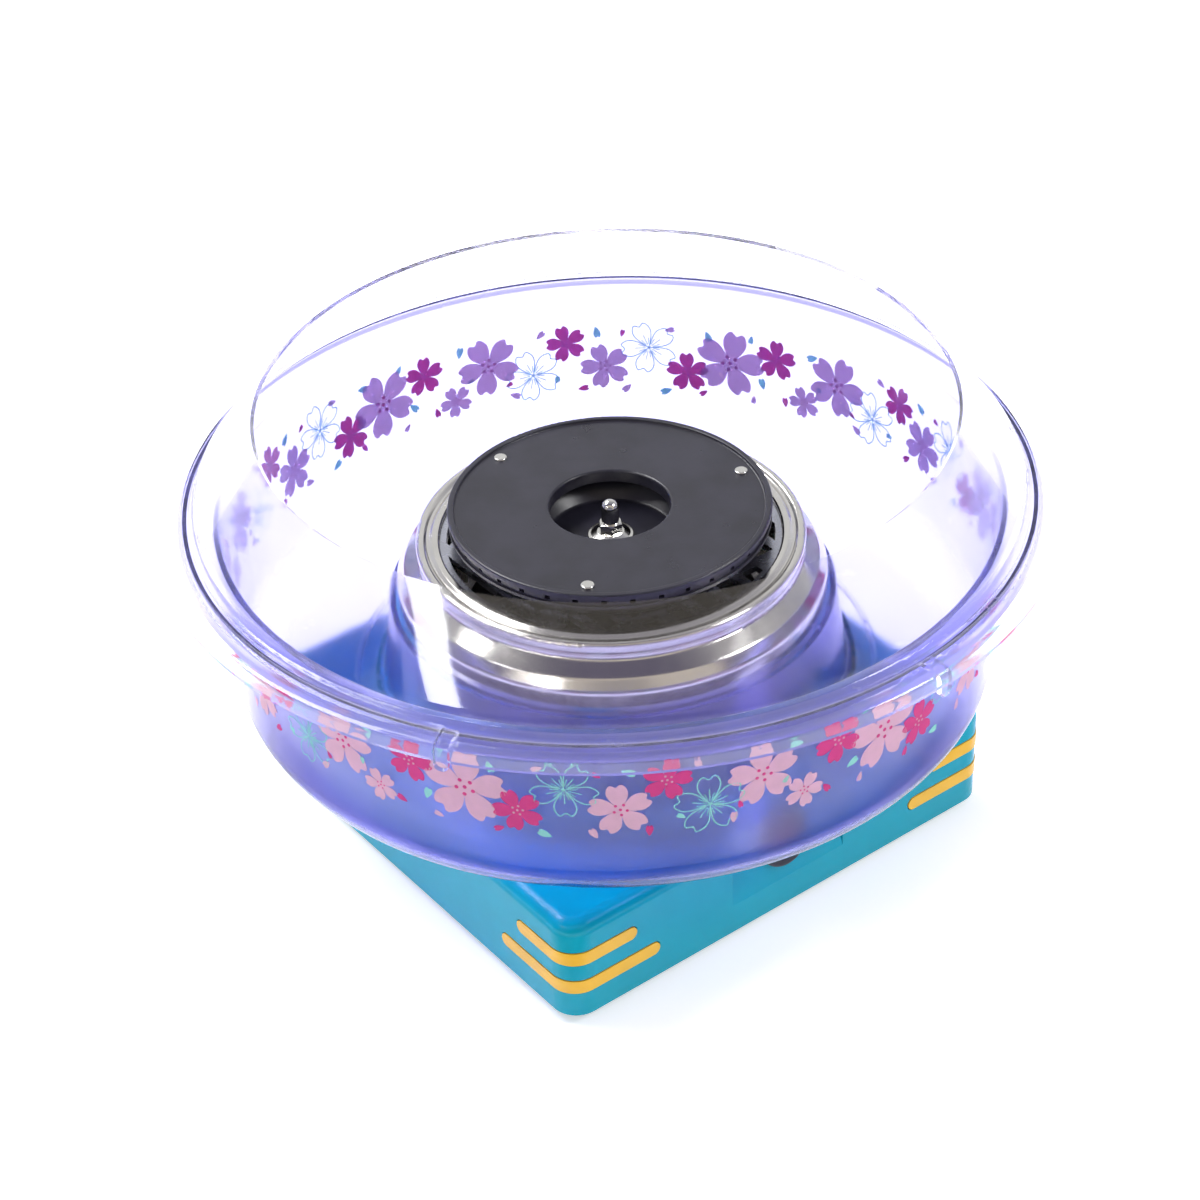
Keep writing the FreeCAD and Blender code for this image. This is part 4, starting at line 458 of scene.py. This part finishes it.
pink_ink = ink("pink_ink", lit((236, 196, 210)))
magenta_ink = ink("magenta_ink", lit((228, 80, 150)))
mint_ink = ink("mint_ink", lit((165, 232, 218)))
white_ink = ink("white_ink", lit((240, 240, 240)), shade=0.02, shows_through=0.0)
print("inks ready")

# %% [markdown]
# ## The printed wall
# The blossoms go on the bowl's outer wall, which is a slightly flared cone. Its size is felt out
# with rays shot at the bowl from all round, at the heights between which the print lies.

# %% Measure the wall
BAND = (0.0888, 0.1249)  # the print lies between these heights
FEELERS = 120
FEELER_START = 0.3


def wall_radius(height):
    """The bowl's outer radius at a height: the widest that a ring of feeler rays finds."""
    widest = 0.0
    for step in range(FEELERS):
        way = Matrix.Rotation(math.radians(360 / FEELERS * step), 3, "Z") @ Vector((-1, 0, 0))
        start = Vector((0, 0, height)) - way * FEELER_START
        _, touch, _, _ = nodes["floss_bowl"].ray_cast(start, way)
        widest = max(widest, touch.xy.length)
    return widest


band_mid = (BAND[0] + BAND[1]) / 2
band_radius = wall_radius(band_mid)
band_lean = math.atan((wall_radius(BAND[1]) - wall_radius(BAND[0])) / (BAND[1] - BAND[0]))
band_length = 2 * math.pi * band_radius
print("wall radius", round(band_radius / MM, 2), "mm, lean", round(math.degrees(band_lean), 2), "degrees")

# %% [markdown]
# ## One petal
# A cherry petal starts narrow, swells, and has a notch at its tip. It is made from a flat grid
# whose rows are scaled to the petal's width, one by one, as one would do by hand. Blossoms are
# drawn with a radius of 1 and scaled when they are placed.

# %% Petal
PETALS = 5
TURN = 2 * math.pi / PETALS
PETAL_ROWS = 6
PETAL_COLUMNS = 4
# the share of the petal's sector that each row fills, from the heart to the tip
ROW_FILL = (0.0, 1.0, 0.97, 0.86, 0.73, 0.53, 0.30)
NOTCH = 0.17
# how near a point must be to count as in a row, and how near two points must be to be merged
NEAR = 0.01
WELD = 0.005


def nothing_selected():
    """Leaves nothing selected, so that an operator acts on the new piece alone."""
    bpy.ops.object.select_all(action="DESELECT")


def pick(keep):
    """In edit mode, selects just the points whose place passes keep."""
    mesh = bmesh.from_edit_mesh(bpy.context.object.data)
    for point in mesh.verts:
        point.select = bool(keep(point.co))
    mesh.select_flush_mode()
    bmesh.update_edit_mesh(bpy.context.object.data)


def petal(name):
    """A flat petal of length 1 along +Y, its heart at the origin, facing +Z."""
    nothing_selected()
    bpy.ops.mesh.primitive_grid_add(x_subdivisions=PETAL_COLUMNS, y_subdivisions=PETAL_ROWS, size=1,
                                    location=(0, 0.5, 0))
    made = bpy.context.object
    made.name = name
    bpy.ops.object.transform_apply(location=True)
    bpy.ops.object.mode_set(mode="EDIT")
    bpy.ops.mesh.select_mode(type="VERT")
    for row, fill in enumerate(ROW_FILL):
        height = row / PETAL_ROWS
        pick(lambda at: abs(at.y - height) < NEAR)
        width = 2 * height * math.tan(TURN / 2) * fill
        bpy.ops.transform.resize(value=(width, 1, 1), center_override=(0, 0, 0))
    pick(lambda at: at.y > 1 - NEAR and abs(at.x) < NEAR)
    bpy.ops.transform.translate(value=(0, -NOTCH, 0))
    pick(lambda at: True)
    bpy.ops.mesh.remove_doubles(threshold=WELD)
    bpy.ops.object.mode_set(mode="OBJECT")
    return made


def rounded(made):
    """Rounds a flat outline with one applied level of subdivision surface."""
    smooth = made.modifiers.new("round", "SUBSURF")
    smooth.levels = 1
    smooth.render_levels = 1
    bpy.ops.object.modifier_apply(modifier=smooth.name)


loose_petal = petal("loose_petal")
rounded(loose_petal)
print("petal faces:", len(loose_petal.data.polygons))

# %% [markdown]
# ## Blossoms
# Spin copies the petal round the heart. A filled blossom is that shape as it is. An outlined
# blossom keeps only a thin border, made by an inset whose inner faces are deleted.

# %% Filled and outlined blossoms
LINE = 0.034  # width of a drawn line, in blossom radii


def blossom(name):
    """A flat five-petalled blossom of radius 1."""
    made = petal(name)
    bpy.ops.object.mode_set(mode="EDIT")
    bpy.ops.mesh.select_all(action="SELECT")
    bpy.ops.mesh.spin(steps=PETALS - 1, dupli=True, angle=TURN * (PETALS - 1), center=(0, 0, 0),
                      axis=(0, 0, 1))
    bpy.ops.mesh.select_all(action="SELECT")
    bpy.ops.mesh.remove_doubles(threshold=WELD)
    bpy.ops.object.mode_set(mode="OBJECT")
    rounded(made)
    return made


filled = blossom("filled_blossom")
outlined = blossom("outlined_blossom")
bpy.ops.object.mode_set(mode="EDIT")
bpy.ops.mesh.select_mode(type="FACE")
bpy.ops.mesh.select_all(action="SELECT")
bpy.ops.mesh.inset(thickness=LINE, use_boundary=True)
bpy.ops.mesh.delete(type="FACE")
bpy.ops.mesh.select_mode(type="VERT")
bpy.ops.object.mode_set(mode="OBJECT")
print("filled:", len(filled.data.polygons), "outlined:", len(outlined.data.polygons), "faces")

# %% [markdown]
# ## Stamens and dots
# Outlined blossoms carry a spray of stamens, and filled ones a ring of dots. Both are tiny flat
# shapes, placed round the heart by turning copies of one.

# %% Stamens and dots
# tilt from the petal's middle in degrees, and where the stamen starts and stops
STAMENS = ((-20, 0.15, 0.40), (0, 0.12, 0.52), (20, 0.15, 0.40))
STAMEN_WIDTH = LINE * 0.8
DOT_RADIUS = 0.052
DOT_CORNERS = 10
DOT_REACH = 0.21


def copied(model, name, matrix):
    """A copy with its own mesh, moved by matrix."""
    made = model.copy()
    made.data = model.data.copy()
    made.name = name
    made.data.transform(matrix)
    bpy.context.scene.collection.objects.link(made)
    return made


def joined(pieces, name):
    """Joins pieces into the first one."""
    nothing_selected()
    for piece in pieces:
        piece.select_set(True)
    bpy.context.view_layer.objects.active = pieces[0]
    if len(pieces) > 1:
        bpy.ops.object.join()
    pieces[0].name = name
    return pieces[0]


def flat_circle(name, radius, corners):
    """A filled flat circle, facing +Z."""
    nothing_selected()
    bpy.ops.mesh.primitive_circle_add(vertices=corners, radius=radius, fill_type="NGON")
    bpy.context.object.name = name
    return bpy.context.object


nothing_selected()
bpy.ops.mesh.primitive_plane_add(size=1)
sliver = bpy.context.object
sprays = []
for petal_number in range(PETALS):
    for tilt, start, stop in STAMENS:
        about = Matrix.Rotation(petal_number * TURN + math.radians(tilt), 4, "Z")
        shape = (Matrix.Translation((0, (start + stop) / 2, 0))
                 @ Matrix.Diagonal((STAMEN_WIDTH, stop - start, 1, 1)))
        sprays.append(copied(sliver, "stamen", about @ shape))
stamens = joined(sprays, "stamens")
outlined = joined([outlined, stamens], "outlined_blossom")
bpy.data.objects.remove(sliver)

dot = flat_circle("dot", DOT_RADIUS, DOT_CORNERS)
ring_of_dots = [copied(dot, "dot", Matrix.Identity(4))]
for petal_number in range(PETALS):
    about = Matrix.Rotation((petal_number + 0.5) * TURN, 4, "Z")
    ring_of_dots.append(copied(dot, "dot", about @ Matrix.Translation((0, DOT_REACH, 0))))
dots = joined(ring_of_dots, "dots")
bpy.data.objects.remove(dot)
print("outlined with stamens:", len(outlined.data.polygons), "faces, dots:", len(dots.data.polygons))

# %% [markdown]
# ## Laying out the band
# The band is laid out flat on a strip as long as the wall is round, with large, small and
# outlined blossoms by turns, high and low, and loose petals in the gaps. Each sixth of the strip
# has the same run of blossoms, turned by chance, so that no two look stamped alike.

# %% Layout
REPEATS = 6
RUN = band_length / REPEATS
# share of the run, height over the band's middle, radius, kind: sizes in millimetres
BLOSSOMS = ((0.035, 1.0, 14.2, "pink"), (0.155, -5.5, 9.0, "magenta"), (0.262, 5.0, 11.4, "outline"),
            (0.385, -3.5, 10.6, "pink"), (0.490, 8.0, 8.2, "magenta"), (0.585, -5.0, 11.8, "outline"),
            (0.710, 3.0, 12.8, "pink"), (0.812, -9.5, 7.0, "pink"), (0.900, 6.5, 8.8, "magenta"))
# share of the run, height, length, kind
PETALS_LOOSE = ((0.098, 12.0, 5.2, "mint"), (0.110, -14.5, 4.2, "magenta"), (0.205, 13.5, 4.4, "pink"),
                (0.215, -15.0, 5.4, "mint"), (0.325, -14.0, 5.0, "pink"), (0.335, 11.5, 3.6, "magenta"),
                (0.405, 12.5, 5.4, "mint"), (0.448, -13.5, 4.8, "magenta"), (0.520, -8.5, 3.6, "mint"),
                (0.560, 13.0, 4.6, "pink"), (0.640, -13.0, 5.0, "pink"), (0.655, -7.5, 3.4, "magenta"),
                (0.765, -2.0, 3.4, "mint"), (0.790, 12.0, 5.4, "mint"), (0.870, -12.0, 4.6, "magenta"),
                (0.940, -6.0, 5.4, "mint"), (0.965, -14.0, 4.0, "pink"), (0.975, 13.5, 4.0, "mint"))
SIZE_DRIFT = (0.95, 1.05)
PETAL_SLIM = 0.8

chance = random.Random(5)  # seeded, so that every run lays out the same band
upright = Matrix.Rotation(math.radians(90), 4, "X")
sheets = {"pink": [], "magenta": [], "mint": []}
dot_sheets = {"pink": [], "magenta": []}


def on_strip(repeat, share, height):
    """Stands a flat shape up at a place on the strip: share of a run, millimetres over the middle."""
    spot = Vector(((repeat + share) * RUN - band_length / 2, 0, height * MM))
    return Matrix.Translation(spot) @ upright


for repeat in range(REPEATS):
    for share, height, radius, kind in BLOSSOMS:
        turned = Matrix.Rotation(chance.uniform(0, TURN), 4, "Z")
        sized = Matrix.Scale(radius * MM * chance.uniform(*SIZE_DRIFT), 4)
        set_down = on_strip(repeat, share, height) @ turned @ sized
        if kind == "outline":
            sheets["mint"].append(copied(outlined, "print", set_down))
        else:
            sheets[kind].append(copied(filled, "print", set_down))
            dot_kind = "magenta" if kind == "pink" else "pink"
            dot_sheets[dot_kind].append(copied(dots, "print", set_down))
    for share, height, length, kind in PETALS_LOOSE:
        turned = Matrix.Rotation(chance.uniform(0, 2 * math.pi), 4, "Z")
        slim = Matrix.Diagonal((PETAL_SLIM, 1, 1, 1))
        centred = Matrix.Scale(length * MM, 4) @ Matrix.Translation((0, -0.5, 0))
        sheets[kind].append(copied(loose_petal, "print", on_strip(repeat, share, height) @ turned @ slim
                                   @ centred))
print("blossoms:", REPEATS * len(BLOSSOMS), "loose petals:", REPEATS * len(PETALS_LOOSE))

# %% [markdown]
# ## Bending the print round the wall
# Each ink is joined to one flat sheet and given the thickness of its film. The sheet leans by the
# wall's flare and is bent round by Simple Deform, which rolls up whatever lies along X. Dots
# are a little thicker than the petals that they sit in, so they show from both sides.

# %% Roll up the inks
FILM = 0.00006
LIFT = 0.00006
DOT_SINK = 0.00003
DOT_EXTRA = 0.00008


def roll_up(pieces, name, paint, lift, film):
    """Joins flat pieces, thickens them, and rolls them on the bowl's outer wall."""
    made = joined(pieces, name)
    made.data.materials.clear()
    made.data.materials.append(paint)
    thick = made.modifiers.new("film", "SOLIDIFY")
    thick.thickness = film
    thick.offset = 1.0
    bpy.ops.object.modifier_apply(modifier=thick.name)
    made.location.y = -lift
    bpy.ops.object.transform_apply(location=True)
    made.rotation_euler.x = band_lean
    bpy.ops.object.transform_apply(rotation=True)
    along = [point.co.x for point in made.data.vertices]
    bend = made.modifiers.new("roll", "SIMPLE_DEFORM")
    bend.deform_method = "BEND"
    bend.deform_axis = "Z"
    bend.angle = (max(along) - min(along)) / band_radius
    bpy.ops.object.modifier_apply(modifier=bend.name)
    made.location = (0, -band_radius, band_mid)
    bpy.ops.object.transform_apply(location=True)
    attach(made, "bowl")
    reach = [point.co.xy.length for point in made.data.vertices]
    print(name, "faces:", len(made.data.polygons), "radius", round(min(reach) / MM, 2),
          "to", round(max(reach) / MM, 2))


roll_up(sheets["pink"], "print_pink", pink_ink, LIFT, FILM)
roll_up(sheets["magenta"], "print_magenta", magenta_ink, LIFT, FILM)
roll_up(sheets["mint"], "print_mint", mint_ink, LIFT, FILM)
roll_up(dot_sheets["magenta"], "print_magenta_dots", magenta_ink, LIFT - DOT_SINK, FILM + DOT_EXTRA)
roll_up(dot_sheets["pink"], "print_pink_dots", pink_ink, LIFT - DOT_SINK, FILM + DOT_EXTRA)
for model in (loose_petal, filled, outlined, dots):
    bpy.data.objects.remove(model)

# %% [markdown]
# ## Marks on the switch
# The rocker carries the usual off and on marks: a ring on its lower half, which is pressed in when
# the machine is off, and a bar on its upper half, which is pressed to turn it on. Each is a thin
# plate set on the rocker's face. The two halves lean in different ways, so the place and the lean
# of each are not worked out but found by shooting a ray back at it.

# %% Switch marks
PANEL_LEAN = math.radians(79)
ROCKER_OUT = Vector((0, -math.sin(PANEL_LEAN), math.cos(PANEL_LEAN)))
ROCKER_UP = Vector((0, math.cos(PANEL_LEAN), math.sin(PANEL_LEAN)))
hinge = next(j for j in frame["joints"] if j["name"] == "switch_rock")
pivot = Vector(hinge["pos_m"])
MARK_THICK = 0.00005
MARK_GAP = 0.00002
MARK_LINE = 0.00045
MARK_REACH = 0.0042
RING_RADIUS = 0.0017
RING_CORNERS = 32
RING_SLIM = 0.76
BAR_LENGTH = 0.0032
RAY_START = 0.03


def on_rocker(made, name, along):
    """Thickens a flat mark and sets it on the rocker's face, along metres up from the hinge."""
    start = pivot + ROCKER_UP * along + ROCKER_OUT * RAY_START
    _, touch, normal, _ = nodes["switch_rocker"].ray_cast(start, -ROCKER_OUT)
    right = ROCKER_UP.cross(normal).normalized()
    above = normal.cross(right)
    stand = Matrix((right, above, normal)).transposed().to_4x4()
    thick = made.modifiers.new("film", "SOLIDIFY")
    thick.thickness = MARK_THICK
    thick.offset = 1.0
    bpy.context.view_layer.objects.active = made
    bpy.ops.object.modifier_apply(modifier=thick.name)
    made.data.transform(Matrix.Translation(touch + normal * MARK_GAP) @ stand)
    made.name = name
    made.data.materials.append(white_ink)
    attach(made, "rocker")
    print(name, "at", [round(v / MM, 1) for v in touch])


off_mark = flat_circle("off_mark", RING_RADIUS, RING_CORNERS)
bpy.ops.object.mode_set(mode="EDIT")
bpy.ops.mesh.select_all(action="SELECT")
bpy.ops.transform.resize(value=(RING_SLIM, 1, 1), center_override=(0, 0, 0))
bpy.ops.mesh.inset(thickness=MARK_LINE)
bpy.ops.mesh.delete(type="FACE")
bpy.ops.object.mode_set(mode="OBJECT")
on_rocker(off_mark, "off_mark", -MARK_REACH)
nothing_selected()
bpy.ops.mesh.primitive_plane_add(size=1)
on_mark = bpy.context.object
on_mark.data.transform(Matrix.Diagonal((MARK_LINE, BAR_LENGTH, 1, 1)))
on_rocker(on_mark, "on_mark", MARK_REACH)

# %% [markdown]
# ## Studio floor
# The machine stands on a pale floor that glows, a little more further out and much more behind the
# machine, so that it runs into the pale background with no horizon. Lamps alone would need to be
# very strong for that and would wash out the machine. The weaker glow near the machine and in front
# of it is painted shade: it keeps the floor under the bowl and the base dark, as shade would. The
# glow depends on the place on the floor, so it stays put when the view changes.

# %% Floor
FLOOR_SIZE = 12.0
# how strongly the floor glows, over the distance from the machine and over the distance behind it;
# the low glow near the machine and in front of it is painted shade
GLOW_OUTWARDS_PAST_PAINTED_SHADE = dict(low=0.45, high=0.65, start=0.15, stop=0.55)
GLOW_BACKWARDS = dict(low=0.45, high=1.2, start=-0.02, stop=0.12)
BEHIND = (-math.sin(turn), math.cos(turn), 0)

nothing_selected()
bpy.ops.mesh.primitive_plane_add(size=FLOOR_SIZE, location=(0, 0, 0))
floor = bpy.context.object
floor.name = "studio_floor"
floor_finish, floor_tree, floor_shader, floor_output = finish("pale_floor")
drifting_colour(floor_tree, floor_shader, 0.8, 2.0, (0.86, 0.86, 0.87), (0.88, 0.88, 0.89))
floor_shader.inputs["Roughness"].default_value = 0.9
floor_shader.inputs["Emission Color"].default_value = (1, 1, 1, 1)
far_out = vector_math(floor_tree, "LENGTH", on_part(floor_tree))
far_behind = vector_math(floor_tree, "DOT_PRODUCT", on_part(floor_tree), BEHIND)
# painted shade: the glow stays low near the machine and in front of it
glow = number_math(floor_tree, "MAXIMUM", spread(floor_tree, far_out, **GLOW_OUTWARDS_PAST_PAINTED_SHADE),
                   spread(floor_tree, far_behind, **GLOW_BACKWARDS))
floor_tree.links.new(glow, floor_shader.inputs["Emission Strength"])
floor.data.materials.append(floor_finish)
print("floor:", FLOOR_SIZE, "m square")

# %% [markdown]
# ## A dark card for mirrors
# Polished steel shows what stands round it. The lower wall of the hub would mirror nothing but
# pale floor and look like paper, so a studio lays a dark card there, out of view. Here the card is
# half a ring of the floor in front of the machine, which is dark for mirror rays alone: Glossy
# Depth is 0 on what is seen directly, and 1 or more after light has bounced off a mirror. A real
# card would show through the clear bowl.

# %% Dark card
CARD_COLOUR = (0.12, 0.10, 0.16, 1)
# how dark the card is over the distance behind the machine, and at its inner and outer edge
CARD_FRONT = dict(low=1.0, high=0.0, start=-0.06, stop=0.04)
CARD_INNER = dict(low=0.0, high=1.0, start=0.150, stop=0.170)
CARD_OUTER = dict(low=1.0, high=0.0, start=0.212, stop=0.228)

mirrored = floor_tree.nodes.new("ShaderNodeLightPath").outputs["Glossy Depth"]
dimmed = spread(floor_tree, mirrored, 0.0, 1.0, start=0.0, stop=1.0)
for reached, edge in ((far_behind, CARD_FRONT), (far_out, CARD_INNER), (far_out, CARD_OUTER)):
    dimmed = number_math(floor_tree, "MULTIPLY", dimmed, spread(floor_tree, reached, **edge))
card = floor_tree.nodes.new("ShaderNodeBsdfDiffuse")
card.inputs["Color"].default_value = CARD_COLOUR
floor_surface = mixed(floor_tree, dimmed, floor_shader.outputs["BSDF"], card.outputs["BSDF"])
floor_tree.links.new(floor_surface, floor_output.inputs["Surface"])
print("card from", CARD_INNER["start"], "to", CARD_OUTER["stop"], "m")

# %% [markdown]
# ## Tent
# A tent hangs round the machine for the steel and the clear parts to mirror. It is pale at the far
# side, grey overhead, dark and then cream towards the near side, and grey again at the near
# horizon, because bright metal looks like metal only when light and dark bands cross it. Seen
# directly, or straight through clear plastic, the background is plain and pale, so no band shows
# behind the machine.

# %% Tent bands
# the tent's colour from the far horizon (-1) over the top (0) to the near horizon (1)
TENT = ((-1.0, (0.95, 0.97, 1.00)), (-0.80, (1.00, 1.00, 1.00)), (-0.35, (0.50, 0.50, 0.56)),
        (0.10, (0.36, 0.35, 0.40)), (0.30, (0.10, 0.09, 0.18)), (0.44, (0.12, 0.10, 0.20)),
        (0.54, (0.86, 0.78, 0.68)), (0.76, (0.80, 0.72, 0.62)), (0.86, (0.24, 0.23, 0.28)),
        (1.0, (0.20, 0.20, 0.26)))
TENT_STRENGTH = 0.72
PLAIN_COLOUR = (0.96, 0.96, 0.97, 1)
NEAR_SIDE = (math.sin(turn), -math.cos(turn), 0)

sky = bpy.data.worlds.new("pale_tent")
sky.use_nodes = True
tree = sky.node_tree
way = tree.nodes.new("ShaderNodeTexCoord").outputs["Generated"]
nearness = vector_math(tree, "DOT_PRODUCT", way, NEAR_SIDE)
along = spread(tree, nearness, 0.0, 1.0, start=-1.0, stop=1.0)
tent = tree.nodes["Background"]
tree.links.new(tones(tree, along, *[((place + 1) / 2, colour) for place, colour in TENT]),
               tent.inputs["Color"])
tent.inputs["Strength"].default_value = TENT_STRENGTH
plain = tree.nodes.new("ShaderNodeBackground")
plain.inputs["Color"].default_value = PLAIN_COLOUR
path = tree.nodes.new("ShaderNodeLightPath")
bounced = number_math(tree, "ADD", path.outputs["Glossy Depth"], path.outputs["Diffuse Depth"])
bounced.node.use_clamp = True
backdrop = mixed(tree, bounced, plain.outputs["Background"], tent.outputs["Background"])
tree.links.new(backdrop, tree.nodes["World Output"].inputs["Surface"])
bpy.context.scene.world = sky
print("tent bands:", len(TENT))

# %% [markdown]
# ## Lamps
# Three soft lamps light the machine. A long thin strip at the left draws a narrow highlight on the
# clear shield, a small square one at the front right lifts the base, and a large one above and
# behind gives most of the light. Light inside a clear rim bounces many times before it comes out.
# With the usual limit of 4 mirror bounces it is cut off and leaves black lines, so far more are
# allowed.

# %% Soft lamps
ALL_BOUNCES = 32
CLEAR_BOUNCES = 24


def lamp(name, place, aim, size, power):
    """A rectangular soft lamp that shines from place to aim."""
    light = bpy.data.lights.new(name, "AREA")
    light.shape = "RECTANGLE"
    light.size, light.size_y = size
    light.energy = power
    held = bpy.data.objects.new(name, light)
    bpy.context.scene.collection.objects.link(held)
    held.matrix_world = (Matrix.Translation(place)
                         @ (Vector(aim) - Vector(place)).to_track_quat("-Z", "Y").to_matrix().to_4x4())
    print(name, power, "W")


lamp("left_softbox", (-1.38, -0.10, 0.98), (-0.12, -0.07, 0.16), (1.0, 0.065), 2.2)
lamp("right_softbox", (1.0, -1.2, 1.4), (0, 0, 0.1), (0.5, 0.5), 14)
lamp("top_softbox", (-0.5, 1.2, 1.9), (0, 0, 0.1), (1.6, 0.8), 44)
bpy.context.scene.view_settings.view_transform = "Standard"
bpy.context.scene.cycles.max_bounces = ALL_BOUNCES
bpy.context.scene.cycles.glossy_bounces = CLEAR_BOUNCES
bpy.context.scene.cycles.transmission_bounces = CLEAR_BOUNCES

# %% [markdown]
# ## Finish

# %% Finish
print("finished")
